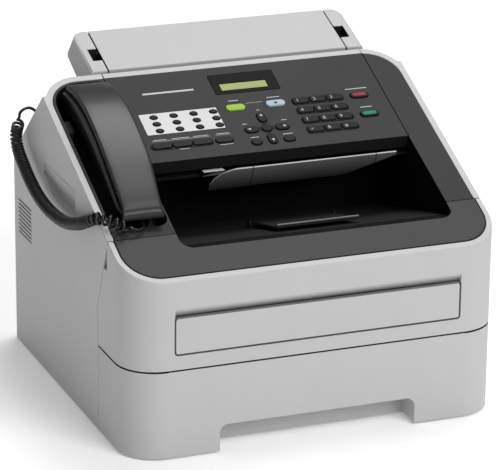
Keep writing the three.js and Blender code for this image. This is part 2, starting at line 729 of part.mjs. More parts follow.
function controlPanel() {
  const blank = form(0)
    .intersect(underTop(0, PANEL.thickness))
    .intersect(box(PANEL.left, PANEL.right, PANEL.front, TOP_BACK_Y, 0, FAR));
  let panel = blank;
  for (const key of dialKeys) {
    panel = panel.subtract(extrude(dialShape(key, KEY_CLEARANCE), -POCKET_DEPTH, 5, ON_TOP, 1));
  }
  for (const key of [...roundKeys, ...wideKeys]) {
    panel = panel.subtract(extrude(capsule(key, KEY_CLEARANCE), -POCKET_DEPTH, 5, ON_TOP, 3));
  }
  panel = panel.subtract(matCavity(ONE_TOUCH_MAT)).subtract(matCavity(FUNCTION_MAT));
  for (const { x, s } of eachOneTouch) {
    const hole = ellipse(x, s, ONE_TOUCH.rx + KEY_CLEARANCE, ONE_TOUCH.rs + KEY_CLEARANCE);
    panel = panel.subtract(extrude(hole, -8, 5, ON_TOP, 4));
  }
  for (const key of functionKeys) {
    panel = panel.subtract(extrude(capsule(key, KEY_CLEARANCE), -8, 5, ON_TOP, 2));
  }
  const window = roundedRect(DISPLAY.x0 - 0.3, DISPLAY.x1 + 0.3, DISPLAY.s0 - 0.3, DISPLAY.s1 + 0.3, 2);
  return panel.subtract(extrude(window, -DISPLAY.thick - 0.3, 5, ON_TOP, 2));
}

addNode('control_panel', controlPanel(), COLOUR.darkGrey);

for (const key of dialKeys) {
  addNode(key.name, extrude(dialShape(key), KEY_BOTTOM, KEY_PROUD, ON_TOP, 1), key.color, 0.4);
}
for (const key of [...roundKeys, ...wideKeys]) {
  addNode(key.name, extrude(capsule(key), KEY_BOTTOM, KEY_PROUD, ON_TOP, 3), key.color, 0.4);
}

function matWeb(mat) {
  const inset = 0.8;
  const outline = roundedRect(mat.x0 + inset, mat.x1 - inset, mat.s0 + inset, mat.s1 - inset, 1.5);
  return extrude(outline, MAT.web, MAT.web + MAT.thick, ON_TOP, 2);
}

function oneTouchKeys() {
  const stems = eachOneTouch.map(({ x, s }) =>
    extrude(ellipse(x, s, ONE_TOUCH.rx, ONE_TOUCH.rs), MAT.web + 0.5, 1.3, ON_TOP, 4),
  );
  return union(matWeb(ONE_TOUCH_MAT), ...stems);
}

function functionKeyStrip() {
  const stems = functionKeys.map((key) => extrude(capsule(key), MAT.web + 0.5, 1.4, ON_TOP, 2));
  return union(matWeb(FUNCTION_MAT), ...stems);
}

addNode('one_touch_keys', oneTouchKeys(), COLOUR.keyBlack, 0.6);
addNode('function_keys', functionKeyStrip(), COLOUR.keyBlack, 0.5);

function display() {
  const plate = extrude(roundedRect(DISPLAY.x0, DISPLAY.x1, DISPLAY.s0, DISPLAY.s1, 1.8),
    -DISPLAY.thick, 0.2, ON_TOP, 2);
  const glass = extrude(roundedRect(LCD.x0, LCD.x1, LCD.s0, LCD.s1, 0.8), -1, 5, ON_TOP, 1);
  return plate.subtract(glass);
}

addNode('display', display(), COLOUR.black, 0.3);

// ---- Document tray, support flap and guides ----
const DOC = { left: -126, right: 154, flare: 8.5, y0: 95, y1: 158 };
const DOC_SLOPE = Math.tan(THREE.MathUtils.degToRad(19.72));
const DOC_Z = 288.8;
const TRAY_ARM_Y = TOP_BACK_Y + 0.4;
const SUPPORT = { left: -108.7, right: 137.2, y0: 95.6, y1: 157.6, thick: 4, gap: 0.7 };
const FINGER_HOLES = [[-118.5, -105], [133.5, 147]];
const GUIDE = { x: 14.25, reach: 105, y0: 106, y1: 140, thick: 3, slot: 12 };

function docZ(y, below = 0) {
  return DOC_Z + DOC_SLOPE * (y - DOC.y0) - below;
}

function documentTray() {
  const points = [];
  const corner = 11;
  const outline = roundedRect(DOC.left, DOC.right, DOC.y0, DOC.y1, [0.5, 0.5, corner, corner]);
  for (const { x, y } of outline.getPoints(4)) {
    points.push(new THREE.Vector3(x, y, docZ(y)));
  }
  const skirt = roundedRect(DOC.left - DOC.flare, DOC.right + DOC.flare, DOC.y0, DOC.y1 - 4,
    [0.5, 0.5, corner, corner]);
  for (const { x, y } of skirt.getPoints(4)) {
    points.push(new THREE.Vector3(x, y, docZ(y, 21 - 0.12 * (y - DOC.y0))));
  }
  const { gap } = SUPPORT;
  let tray = solidOf(new ConvexGeometry(points));
  tray = tray.subtract(across([
    [50, docZ(50, SUPPORT.thick + gap)],
    [200, docZ(200, SUPPORT.thick + gap)],
    [200, FAR],
    [50, FAR],
  ], SUPPORT.left - gap, SUPPORT.right + gap));
  const reach = GUIDE.reach + GUIDE.thick + 0.6;
  tray = tray.subtract(across([
    [GUIDE.y0 - 1, docZ(GUIDE.y0 - 1, 14.5)],
    [GUIDE.y1 + 1, docZ(GUIDE.y1 + 1, 13)],
    [GUIDE.y1 + 1, FAR],
    [GUIDE.y0 - 1, FAR],
  ], GUIDE.x - reach, GUIDE.x + reach));
  for (const [x0, x1] of FINGER_HOLES) {
    tray = tray.subtract(across([
      [112, docZ(112, 13)],
      [130, docZ(130, 12)],
      [130, FAR],
      [112, FAR],
    ], x0, x1));
  }
  // Two arms hold the tray on the rear housing, and a chute leads documents down into the slot.
  for (const [x0, x1] of [[DOC.left, DOC.left + 7], [DOC.right - 7, DOC.right]]) {
    tray = tray.add(across([
      [TRAY_ARM_Y, 261],
      [100, 253],
      [112, 276],
      [100, 278],
      [TRAY_ARM_Y, 270],
    ], x0, x1));
  }
  return tray.add(across([
    [TRAY_ARM_Y, 266],
    [DOC.y0 + 2, 268.5],
    [DOC.y0 + 2, 271.5],
    [TRAY_ARM_Y, 268.6],
  ], DOC.left, DOC.right));
}

addNode('document_tray', documentTray(), COLOUR.rimGrey);

function documentSupport() {
  return across([
    [SUPPORT.y0, docZ(SUPPORT.y0, SUPPORT.thick)],
    [SUPPORT.y1, docZ(SUPPORT.y1, SUPPORT.thick)],
    [SUPPORT.y1, docZ(SUPPORT.y1)],
    [SUPPORT.y0, docZ(SUPPORT.y0)],
  ], SUPPORT.left, SUPPORT.right);
}

addNode('document_support', documentSupport(), COLOUR.rimGrey);

function documentGuide(sign) {
  const inner = GUIDE.x + sign * GUIDE.reach;
  const outer = inner + sign * GUIDE.thick;
  const points = [
    [GUIDE.y0, docZ(GUIDE.y0, 13.6)],
    [GUIDE.y1, docZ(GUIDE.y1, 12.4)],
    [GUIDE.y1, docZ(GUIDE.y1, 5)],
    [GUIDE.y0, docZ(GUIDE.y0, 5)],
  ];
  return across(points, Math.min(inner, outer), Math.max(inner, outer));
}

addNode('document_guide_left', documentGuide(-1), COLOUR.rimGrey);
addNode('document_guide_right', documentGuide(1), COLOUR.rimGrey);

// ---- Handset, hook switch and handset jack ----
const HANDSET = { left: -166, right: -120.8, start: 77, end: 273 };
const CUPS = [100, 248];

function handset() {
  const profile = polygon([
    [HANDSET.start, 7],
    [HANDSET.start + 1, 13],
    [HANDSET.start + 3, 14.6],
    [96, 17.6],
    [115, 21],
    [140, 25.2],
    [165, 28.4],
    [190, 30],
    [212, 29.6],
    [232, 26],
    [248, 20.5],
    [262, 12],
    [270, 3],
    [HANDSET.end, -4],
    [HANDSET.end - 2, -14],
    [232, -14],
    [226, 6],
    [124, 6],
    [118, -8],
    [82, -8],
    [80, 6],
  ]);
  const onSide = new THREE.Matrix4().copy(ON_TOP).multiply(ACROSS);
  const body = extrude(profile, HANDSET.left, HANDSET.right, onSide);
  const plan = roundedRect(HANDSET.left, HANDSET.right, HANDSET.start, HANDSET.end, [4, 7, 9, 20]);
  const taper = polygon([
    [HANDSET.right + 1, 150],
    [HANDSET.right + 1, 60],
    [HANDSET.right - 6, 60],
    [HANDSET.right - 5, HANDSET.start],
  ]);
  let solid = body.intersect(extrude(plan, -50, 50, ON_TOP, 3)).subtract(extrude(taper, -50, 50, ON_TOP));
  for (const s of CUPS) {
    const cup = new THREE.CylinderGeometry(17.5, 19, 12, 20).rotateX(Math.PI / 2);
    solid = solid.add(solidOf(cup.translate(-143.6, s, -12).applyMatrix4(ON_TOP)));
  }
  return solid;
}

addNode('handset', handset(), COLOUR.black, 0.45);

function hookSwitch() {
  const outline = roundedRect(-173.6, -167.2, 214, 231, 2);
  return extrude(outline, -WELL.depth + 0.5, -3, ON_TOP, 2);
}

addNode('hook_switch', hookSwitch(), COLOUR.darkGrey, 0.5);

function handsetJack() {
  const block = onBackSlope(JACK_HOLE.half - 0.4, JACK_HOLE.half - 1.4, -12, -0.2);
  return block.subtract(onBackSlope(4.6, 3.4, -9, 5));
}

addNode('handset_jack', handsetJack(), COLOUR.black, 0.5);

// ---- Handset cord: two thin leads and the curled length between them ----
const WIRE = 2.6;
const CURL = 12.4;

function tube(points, diameter, steps, sides) {
  const path = new THREE.CatmullRomCurve3(points.map((p) => new THREE.Vector3(...p)));
  const section = new THREE.Shape();
  for (let i = 0; i < sides; i += 1) {
    const angle = (i / sides) * Math.PI * 2;
    const x = (Math.cos(angle) * diameter) / 2;
    const y = (Math.sin(angle) * diameter) / 2;
    if (i === 0) section.moveTo(x, y);
    else section.lineTo(x, y);
  }
  return solidOf(new THREE.ExtrudeGeometry(section, { steps, extrudePath: path, bevelEnabled: false }));
}

const JACK_LEAD = [
  [-173.5, 107.8, 234.6],
  [-173.5, 113.4, 241.4],
  [-174.2, 116.6, 246.4],
  [-177.4, 117, 250.4],
  [-183, 115, 253.4],
  [-189, 113.2, 252.8],
  [-193, 112.6, 249.2],
];
const CURL_ROUTE = [
  [-193.2, 112.2, 242.6],
  [-194.2, 117.6, 233],
  [-195, 118.4, 223.6],
  [-195, 111.5, 213],
  [-195, 94.4, 203],
  [-195, 72.8, 193.2],
  [-195, 45, 185.6],
  [-194.8, 10, 182.6],
  [-194.4, -30, 186],
  [-193.8, -66, 196],
  [-192.4, -86, 204.6],
  [-188.4, -98.4, 210.8],
  [-182, -105.6, 211.4],
  [-175.6, -110.6, 209],
  [-169, -114, 206],
  [-162, -116.4, 203.9],
];
const HANDSET_LEAD = [
  [-158, -116.8, 202.8],
  [-152.6, -115.6, 201.4],
  [-148, -112.2, 201.2],
  [-145.6, -107.6, 202.4],
  [-145.4, -102.4, 204.2],
];

addNode('cord_lead_jack', tube(JACK_LEAD, WIRE, 7, 8), COLOUR.rubber, 0.6);
addNode('cord_coil', tube(CURL_ROUTE, CURL, 22, 12), COLOUR.rubber, 0.6);
addNode('cord_lead_handset', tube(HANDSET_LEAD, WIRE, 5, 8), COLOUR.rubber, 0.6);

// ---- Parts inside the housing ----
function powerSupply() {
  const body = box(126, 172, 60, 166, 5.3, 62);
  const socket = box(INLET.x0, INLET.x1, 165, BACK - 0.2, INLET.z0, INLET.z1);
  const mouth = box(INLET.x0 + 3, INLET.x1 - 3, 163, BACK + 5, INLET.z0 + 3.5, INLET.z1 - 3.5);
  const pins = [-7, 0, 7].map((dx) => {
    const x = (INLET.x0 + INLET.x1) / 2 + dx;
    return box(x - 1, x + 1, 160, 171, 33, 38);
  });
  return union(body.add(socket).subtract(mouth), ...pins);
}

function lineBoard() {
  let board = box(-162, -124, 118, 168, 24, 26);
  for (const x of LINE_JACK.xs) {
    const block = box(x - LINE_JACK.half, x + LINE_JACK.half, 150, BACK - 0.2, LINE_JACK.z0, LINE_JACK.z1);
    board = board.add(block.subtract(box(x - 5, x + 5, 163, BACK + 5, 31, 39)));
  }
  return board;
}

function mainBoard() {
  let board = box(-172, -170, -60, 108, 5.3, 80);
  for (const [y, z, size] of [[-30, 30, 22], [10, 50, 16], [50, 34, 26], [86, 60, 14]]) {
    board = board.add(box(-171, -163, y - size / 2, y + size / 2, z - size / 2, z + size / 2));
  }
  return board;
}

addNode('power_supply', powerSupply(), COLOUR.black, 0.5);
addNode('line_board', lineBoard(), COLOUR.board, 0.5);
addNode('main_board', mainBoard(), COLOUR.board, 0.5);
addNode('laser_unit', box(-123.5, 123.5, -62, -8, 132, 148), COLOUR.black, 0.6);
addNode('toner_cartridge', union(
  box(-112, 112, -72, 0, 91, 124),
  box(-40, 40, -84, -70, 100, 118),
), COLOUR.black, 0.6);
addNode('photo_drum', union(
  cylinderX(DRUM.radius, -112, 112, DRUM.y, DRUM.z),
  cylinderX(DRUM.shaft, -124, 124, DRUM.y, DRUM.z, 12),
), COLOUR.drum, 0.2);
addNode('fuser_roller', union(
  cylinderX(FUSER.radius, -112, 112, FUSER.y, FUSER.z),
  cylinderX(FUSER.shaft, -124, 124, FUSER.y, FUSER.z, 12),
), COLOUR.black, 0.4);
addNode('pickup_roller', union(
  cylinderX(PICKUP.radius, -24, 24, PICKUP.y, PICKUP.z),
  cylinderX(PICKUP.shaft, -58, 58, PICKUP.y, PICKUP.z, 12),
), COLOUR.rubber, 0.9);

export default group;
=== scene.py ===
"""Looks of the fax machine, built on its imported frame: camera, cord, rounded pieces, materials and light.

Sizes and places are in millimetres unless said otherwise: x to the right, y back, z up, origin on the floor.
"""
import json
import math

import bmesh
import bpy
from mathutils import Matrix, Vector


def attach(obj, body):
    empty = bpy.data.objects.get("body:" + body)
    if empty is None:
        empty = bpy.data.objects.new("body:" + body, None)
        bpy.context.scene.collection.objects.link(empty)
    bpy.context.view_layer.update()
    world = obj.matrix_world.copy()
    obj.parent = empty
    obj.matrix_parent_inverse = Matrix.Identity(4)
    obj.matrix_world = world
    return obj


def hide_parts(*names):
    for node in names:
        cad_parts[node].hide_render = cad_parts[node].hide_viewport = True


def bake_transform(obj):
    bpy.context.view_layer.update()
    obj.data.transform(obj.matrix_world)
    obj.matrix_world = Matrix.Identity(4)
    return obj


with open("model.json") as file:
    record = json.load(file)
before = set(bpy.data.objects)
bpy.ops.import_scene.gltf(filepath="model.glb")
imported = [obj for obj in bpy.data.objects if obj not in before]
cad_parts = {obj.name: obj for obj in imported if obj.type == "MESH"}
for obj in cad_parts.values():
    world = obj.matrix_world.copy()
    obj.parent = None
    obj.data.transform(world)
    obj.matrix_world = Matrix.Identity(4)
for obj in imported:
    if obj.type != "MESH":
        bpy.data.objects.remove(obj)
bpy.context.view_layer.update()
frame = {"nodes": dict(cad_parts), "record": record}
MM = 0.001
scene = bpy.context.scene

# ---- Driving dimensions: the sloping top, its rim, its openings and the seams ----
TOP_ANGLE = math.radians(23.93)
TOP_FRONT = Vector((0, -175, 170))
HALF_WIDTH = 184
RIM = 6.5
CORNER = 38
INLAY = {"front": -168.1, "back": 83.6}
OPENING = {"left": -118.6, "right": 149.2, "front": -137.8, "corner": 12}
PANEL = {"left": -117.8, "right": 148.4, "front": -30.5, "back": 89.4}
TOP_SEAM_Y = -118.9
TRAY_SEAM_Z = (84.0, 86.5)
FEED_FLAP = {"half": 139.9, "low": 100.2, "high": 135.9, "corner": 3.0}

# ---- Driving dimensions: display and keys, in (x, s) on the panel ----
LCD = {"left": -9.5, "right": 38, "low": 248.6, "high": 258.4}
KEY_TOP = 1.6
DIAL_X = [61.6, 79.1, 96.6]
DIAL_S = [222, 208, 193.8, 179.7]
DIAL_NAMES = ["1", "2", "3", "4", "5", "6", "7", "8", "9", "star", "0", "hash"]
FUNCTION_X = [-93.6, -73.4, -53.2]
FUNCTION_S = 178.6
ONE_TOUCH_X = [-88.4, -68.4, -48.4, -28.6]
ONE_TOUCH_S = [200.4, 210.2, 219.9]
NAVIGATION = {"x": 15.0, "s": 188.6, "reach": 17.5}
WIDE_KEY_X = 122.5
STOP_S = 222.0
START_S = 194.0

# ---- Driving dimensions: cord and handset ----
WIRE = 2.9
COIL_RADIUS = 4.8
TIGHTEST_BEND = 4.8
COIL_PITCH = 3.6
HANDSET = {"left": -166.0, "right": -120.8, "start": 77, "cup_x": -143.6, "mouth": 103, "ear": 248}

# ---- The panel frame: x across, s up the slope from the front edge of the top, n along its normal ----
TOP_SLOPE = math.tan(TOP_ANGLE)
TOP_NORMAL = Vector((0, -math.sin(TOP_ANGLE), math.cos(TOP_ANGLE)))


def on_top(x, s, n=0.0):
    """A point of the panel frame, in metres."""
    y = TOP_FRONT.y + s * math.cos(TOP_ANGLE) - n * math.sin(TOP_ANGLE)
    z = TOP_FRONT.z + s * math.sin(TOP_ANGLE) + n * math.cos(TOP_ANGLE)
    return Vector((x, y, z)) * MM


def slope_at(y):
    """Distance up the slope of the point of the top plane at a given y."""
    return (y - TOP_FRONT.y) / math.cos(TOP_ANGLE)


def below_top(at):
    """How far a point lies under the top plane."""
    height = TOP_FRONT.z + TOP_SLOPE * (at.y - TOP_FRONT.y)
    return (height - at.z) * math.cos(TOP_ANGLE)


# ---- Small helpers ----
def within(value, span, spare=0.0):
    """Whether a value lies inside a span that is widened by spare at both ends."""
    return span[0] - spare < value < span[1] + spare


def ramp(value):
    """A smooth rise from 0 to 1 as value goes from 0 to 1."""
    value = max(0.0, min(1.0, value))
    return value * value * (3 - 2 * value)


def arc(x, y, radius, start, end, steps=8):
    """Points on an arc, angles in degrees, from start to end."""
    points = []
    for i in range(steps + 1):
        angle = math.radians(start + (end - start) * i / steps)
        points.append((x + radius * math.cos(angle), y + radius * math.sin(angle)))
    return points


def round_box(x0, x1, y0, y1, radius, steps=6):
    """The outline of a rectangle with rounded corners."""
    return (
        arc(x1 - radius, y0 + radius, radius, -90, 0, steps)
        + arc(x1 - radius, y1 - radius, radius, 0, 90, steps)
        + arc(x0 + radius, y1 - radius, radius, 90, 180, steps)
        + arc(x0 + radius, y0 + radius, radius, 180, 270, steps)
    )


def oval(x, y, rx, ry, steps=24):
    """The outline of an ellipse."""
    turn = 2 * math.pi / steps
    return [(x + rx * math.cos(i * turn), y + ry * math.sin(i * turn)) for i in range(steps)]


def quarter_turned(points, quarters):
    """Points turned about the origin by quarter turns, anticlockwise."""
    for _ in range(quarters):
        points = [(-y, x) for x, y in points]
    return points


# ---- Materials: moulded plastics with a fine surface grain and slightly uneven colour and gloss ----
CLOUDS_PER_METRE = 24
CLOUD_SPAN = (0.3, 0.7)
GLOSS_CHANGE = (-0.05, 0.07)
BUMP_STRENGTH = 0.35


def material(name, colour, roughness=0.5, grain=0.7, bump=0.02, mottle=0.04, specular=0.5, painted_shade=None):
    """A plastic whose colour is clouded or, with painted_shade, darker towards the bottom as painted shade.

    grain is the size and bump the height of the surface grain, mottle the share by which the colour varies;
    painted_shade is (lower height, upper height, share of the colour left at the lower one).
    """
    mat = bpy.data.materials.new(name)
    mat.use_nodes = True
    nodes = mat.node_tree.nodes
    links = mat.node_tree.links
    shader = nodes["Principled BSDF"]
    shader.inputs["Specular IOR Level"].default_value = specular
    place = nodes.new("ShaderNodeTexCoord")

    tint = nodes.new("ShaderNodeValToRGB")
    darker, lighter = tint.color_ramp.elements
    lighter.color = [min(1, c * (1 + mottle)) for c in colour] + [1]
    if painted_shade is None:
        darker.position, lighter.position = CLOUD_SPAN
        darker.color = [c * (1 - mottle) for c in colour] + [1]
        cloud = nodes.new("ShaderNodeTexNoise")
        cloud.inputs["Scale"].default_value = CLOUDS_PER_METRE
        cloud.inputs["Detail"].default_value = 4
        links.new(place.outputs["Object"], cloud.inputs["Vector"])
        links.new(cloud.outputs["Fac"], tint.inputs["Fac"])
    else:
        low, high, share = painted_shade
        darker.position, lighter.position = 0, 1
        darker.color = [c * share for c in colour] + [1]
        height = nodes.new("ShaderNodeSeparateXYZ")
        links.new(place.outputs["Object"], height.inputs["Vector"])
        rise = nodes.new("ShaderNodeMapRange")
        rise.inputs["From Min"].default_value = low * MM
        rise.inputs["From Max"].default_value = high * MM
        links.new(height.outputs["Z"], rise.inputs["Value"])
        links.new(rise.outputs["Result"], tint.inputs["Fac"])
    links.new(tint.outputs["Color"], shader.inputs["Base Color"])

    fine = nodes.new("ShaderNodeTexNoise")
    fine.inputs["Scale"].default_value = 1 / (grain * MM)
    fine.inputs["Detail"].default_value = 3
    links.new(place.outputs["Object"], fine.inputs["Vector"])
    gloss = nodes.new("ShaderNodeMapRange")
    gloss.inputs["To Min"].default_value = roughness + GLOSS_CHANGE[0]
    gloss.inputs["To Max"].default_value = roughness + GLOSS_CHANGE[1]
    links.new(fine.outputs["Fac"], gloss.inputs["Value"])
    links.new(gloss.outputs["Result"], shader.inputs["Roughness"])
    relief = nodes.new("ShaderNodeBump")
    relief.inputs["Strength"].default_value = BUMP_STRENGTH
    relief.inputs["Distance"].default_value = bump * MM
    links.new(fine.outputs["Fac"], relief.inputs["Height"])
    links.new(relief.outputs["Normal"], shader.inputs["Normal"])
    return mat


def grey(value):
    return (value, value, value)


LOOKS = {
    "body_grey": dict(colour=grey(0.452), mottle=0.012),
    "tray_grey": dict(colour=grey(0.435), mottle=0.012),
    "panel_grey": dict(colour=grey(0.033), roughness=0.6, bump=0.03, specular=0.16),
    # Also painted as painted shade on faces under the skin of the top and panel, in the output opening and in
    # seams.
    "black_plastic": dict(colour=grey(0.0035), roughness=0.6, specular=0.1),
    "handset_grey": dict(colour=grey(0.022), roughness=0.33, bump=0.006, grain=0.5, specular=0.29),
    # handset_black is also painted on the upright sides of the grey upper shell as painted shade.
    "handset_black": dict(colour=grey(0.004), roughness=0.3, bump=0.005, specular=0.3),
    # Painted highlight on the narrow ledge of the handset's lower shell.
    "handset_ledge_painted_highlight": dict(colour=grey(0.03), roughness=0.4, bump=0.005, specular=0.3),
    "rubber": dict(colour=grey(0.015), roughness=0.8, bump=0.05),
    "cord": dict(colour=grey(0.006), roughness=0.33, bump=0.004),
    "key_black": dict(colour=grey(0.006), bump=0.006, mottle=0.1, specular=0.12),
    "key_green": dict(colour=(0.25, 0.42, 0.02), roughness=0.4, bump=0.004, specular=0.2),
    "key_blue": dict(colour=(0.34, 0.41, 0.49), roughness=0.4, bump=0.004, specular=0.2),
    "key_red": dict(colour=(0.26, 0.02, 0.06), roughness=0.45, bump=0.004, specular=0.1),
    "key_teal": dict(colour=(0.005, 0.20, 0.11), roughness=0.45, bump=0.004, specular=0.1),
    "board": dict(colour=(0.02, 0.10, 0.045), roughness=0.35, mottle=0.2),
    "drum": dict(colour=(0.03, 0.17, 0.16), roughness=0.12, bump=0.002),
    "fuser": dict(colour=grey(0.02), roughness=0.3),
    "label": dict(colour=grey(0.50), roughness=0.42, bump=0.006, mottle=0.05),
    "lcd": dict(colour=(0.29, 0.335, 0.115), roughness=0.4, bump=0.002, specular=0.15),
    "print": dict(colour=grey(0.42), bump=0.002),
    # Painted highlights: on the document scoop's upper edge, on the output flap's front bead and on its
    # raised front edge.
    "lip": dict(colour=grey(0.42), roughness=0.4, bump=0.006),
    "lip_grey": dict(colour=grey(0.16), roughness=0.4, bump=0.006),
    "lip_dark": dict(colour=grey(0.045), roughness=0.4),
    "strip_grey": dict(colour=grey(0.043), roughness=0.55, bump=0.03, specular=0.2),
    # Painted shade in the seams, finger holes and narrow walls, and also the dark print of the mark on the
    # copy key.
    "gap": dict(colour=grey(0.012), roughness=0.8, specular=0.1),
    # Painted shade on the output bay's upward floor, lighter than on its walls; also the output support
    # flap's main colour.
    "bay_floor": dict(colour=grey(0.018), roughness=0.55, specular=0.15),
    # Darker towards the bottom of the document scoop as painted shade.
    "flap_grey": dict(colour=grey(0.10), painted_shade=(201.5, 220.5, 0.12)),
    # Painted shade in the seam round the manual feed flap.
    "seam_painted_shade": dict(colour=grey(0.065), roughness=0.6, specular=0.2),
    # Painted shade on the floor of the finger recess over the feed flap.
    "recess_floor_painted_shade": dict(colour=grey(0.19), roughness=0.6, specular=0.2),
    # Painted shade: the body's grey darkening towards the bottom of the finger recess.
    "recess_painted_shade": dict(colour=grey(0.44), painted_shade=(135.0, 144.6, 0.3)),
    # Painted shade on the walls of the handset well.
    "well_black": dict(colour=grey(0.010), roughness=0.55, specular=0.2),
}
MATERIALS = {name: material(name, **look) for name, look in LOOKS.items()}


# ---- Making pieces ----
def mesh_of(bm, name, mats=(), paint=None):
    """A mesh of bm. paint(face) names a face's material, which is one of mats."""
    if paint is not None:
        for face in bm.faces:
            face.material_index = mats.index(paint(face))
    mesh = bpy.data.meshes.new(name)
    bm.to_mesh(mesh)
    bm.free()
    return mesh


def add_object(name, mesh, body, mats):
    """A piece that rides on a body. mats names its materials, the first for the faces that aren't painted."""
    obj = bpy.data.objects.new(name, mesh)
    scene.collection.objects.link(obj)
    painted = [face.material_index for face in mesh.polygons]
    mesh.materials.clear()
    for mat in mats:
        mesh.materials.append(MATERIALS[mat])
    mesh.polygons.foreach_set("material_index", painted)
    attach(obj, body)
    return obj


SMOOTH_ANGLE = math.radians(60)
EDGE_ANGLE = math.radians(35)


def soften(obj, width, segments=2):
    """Rounds the sharp edges and shades the whole smoothly, with flat faces kept flat."""
    mesh = obj.data
    if width == 0:
        mesh.shade_flat()
        return
    mesh.shade_smooth()
    mesh.set_sharp_from_angle(angle=SMOOTH_ANGLE)
    bevel = obj.modifiers.new("edges", "BEVEL")
    bevel.width = width * MM
    bevel.segments = segments
    bevel.limit_method = "ANGLE"
    bevel.angle_limit = EDGE_ANGLE
    bevel.use_clamp_overlap = False
    bevel.loop_slide = False
    normals = obj.modifiers.new("normals", "WEIGHTED_NORMAL")
    normals.keep_sharp = True
    normals.weight = 100


def plate(name, loops, heights, body, mat, width=0.0):
    """A plate along the top plane, between two heights over it, with its sharp edges rounded by width.

    loops are outlines of (x, s), the first the rim and the others holes.
    """
    bm = bmesh.new()
    uppers = []
    lowers = []
    for height, made in ((heights[1], uppers), (heights[0], lowers)):
        edges = []
        for loop in loops:
            verts = [bm.verts.new(on_top(x, s, height)) for x, s in loop]
            for i, vert in enumerate(verts):
                edges.append(bm.edges.new((vert, verts[(i + 1) % len(verts)])))
            made.append(verts)
        bmesh.ops.triangle_fill(bm, use_beauty=True, use_dissolve=False, edges=edges)
    for upper, lower in zip(uppers, lowers):
        for i in range(len(upper)):
            j = (i + 1) % len(upper)
            bm.faces.new((upper[i], upper[j], lower[j], lower[i]))
    bmesh.ops.recalc_face_normals(bm, faces=bm.faces)
    soften(add_object(name, mesh_of(bm, name), body, [mat]), width)


def loft(name, rings, body, mats, paint=None, smooth=True):
    """A closed skin over rings of points, with capped ends."""
    bm = bmesh.new()
    made = [[bm.verts.new(point) for point in ring] for ring in rings]
    count = len(rings[0])
    for a, b in zip(made, made[1:]):
        for k in range(count):
            bm.faces.new((a[k], a[(k + 1) % count], b[(k + 1) % count], b[k]))
    bm.faces.new(list(reversed(made[0])))
    bm.faces.new(made[-1])
    bmesh.ops.recalc_face_normals(bm, faces=bm.faces)
    obj = add_object(name, mesh_of(bm, name, mats, paint), body, mats)
    if smooth:
        obj.data.shade_smooth()
    return obj


def upright_strip(name, outer, inner, y0, y1, body, mat):
    """An upright strip between two lines of (x, z) with equal numbers of points, from y0 back to y1."""
    bm = bmesh.new()
    lines = []
    for outline, y in ((outer, y0), (outer, y1), (inner, y1), (inner, y0)):
        lines.append([bm.verts.new(Vector((x, y, z)) * MM) for x, z in outline])
    for a, b in zip(lines, lines[1:] + lines[:1]):
        for k in range(len(outer) - 1):
            bm.faces.new((a[k], a[k + 1], b[k + 1], b[k]))
    for end in (0, -1):
        bm.faces.new([line[end] for line in lines])
    bmesh.ops.recalc_face_normals(bm, faces=bm.faces)
    add_object(name, mesh_of(bm, name), body, [mat])


# ---- Camera, in metres: in front of the machine, to its left and a little above ----
CAMERA_AT = Vector((-1.0044, -2.5338, 1.0867))
AZIMUTH = math.radians(-21.513)
ELEVATION = math.radians(19.106)
ROLL = math.radians(0.565)
LENS = {"sensor": 36, "length": 217.6, "shift_x": 0.0109, "shift_y": -0.0034}
FAR_CLIP = 50


def add_camera():
    across = Vector((math.cos(AZIMUTH), math.sin(AZIMUTH), 0))
    towards = Vector((
        math.sin(AZIMUTH) * math.cos(ELEVATION),
        -math.cos(AZIMUTH) * math.cos(ELEVATION),
        math.sin(ELEVATION),
    ))
    upwards = towards.cross(across)
    rolled_across = math.cos(ROLL) * across + math.sin(ROLL) * upwards
    rolled_upwards = math.cos(ROLL) * upwards - math.sin(ROLL) * across
    axes = Matrix((rolled_across, rolled_upwards, towards)).transposed().to_4x4()
    camera = bpy.data.objects.new("camera", bpy.data.cameras.new("camera"))
    scene.collection.objects.link(camera)
    camera.matrix_world = Matrix.Translation(CAMERA_AT) @ axes
    camera.data.sensor_width = LENS["sensor"]
    camera.data.lens = LENS["length"]
    camera.data.shift_x = LENS["shift_x"]
    camera.data.shift_y = LENS["shift_y"]
    camera.data.clip_end = FAR_CLIP
    scene.camera = camera


add_camera()

# ---- Handset cord: one wire, which is a straight lead, a coil and a straight lead ----
JACK_LEAD = [
    (-173.5, 107.8, 234.6),
    (-173.5, 113.4, 241.4),
    (-174.2, 116.6, 246.4),
    (-177.4, 117.0, 250.4),
    (-183.0, 115.0, 253.4),
    (-189.0, 113.2, 252.8),
    (-193.0, 112.6, 249.2),
]
CURL_ROUTE = [
    (-193.2, 112.2, 242.6),
    (-194.2, 117.6, 233.0),
    (-195.0, 118.4, 223.6),
    (-195.0, 111.5, 213.0),
    (-195.0, 94.4, 203.0),
    (-195.0, 72.8, 193.2),
    (-195.0, 45.0, 185.6),
    (-194.8, 10.0, 182.6),
    (-194.4, -30.0, 186.0),
    (-193.8, -66.0, 196.0),
    (-192.4, -86.0, 204.6),
    (-188.4, -98.4, 210.8),
    (-182.0, -105.6, 211.4),
    (-175.6, -110.6, 209.0),
    (-169.0, -114.0, 206.0),
    (-162.0, -116.4, 203.9),
]
HANDSET_LEAD = [
    (-158.0, -116.8, 202.8),
    (-152.6, -115.6, 201.4),
    (-148.0, -112.2, 201.2),
    (-145.6, -107.6, 202.4),
    (-145.4, -102.4, 204.2),
]
AXIS_STEP = 0.1
SPLINE_PARTS = 24
SWELL = {"jack": 14, "handset": 10}
OPEN_TURNS = {"from": 0.80, "over": 0.15, "wider": 2.8}
STRAIGHT = 0.3
POINT_GAP = {"lead": 1.2, "coil": 2.1, "least": 0.8}


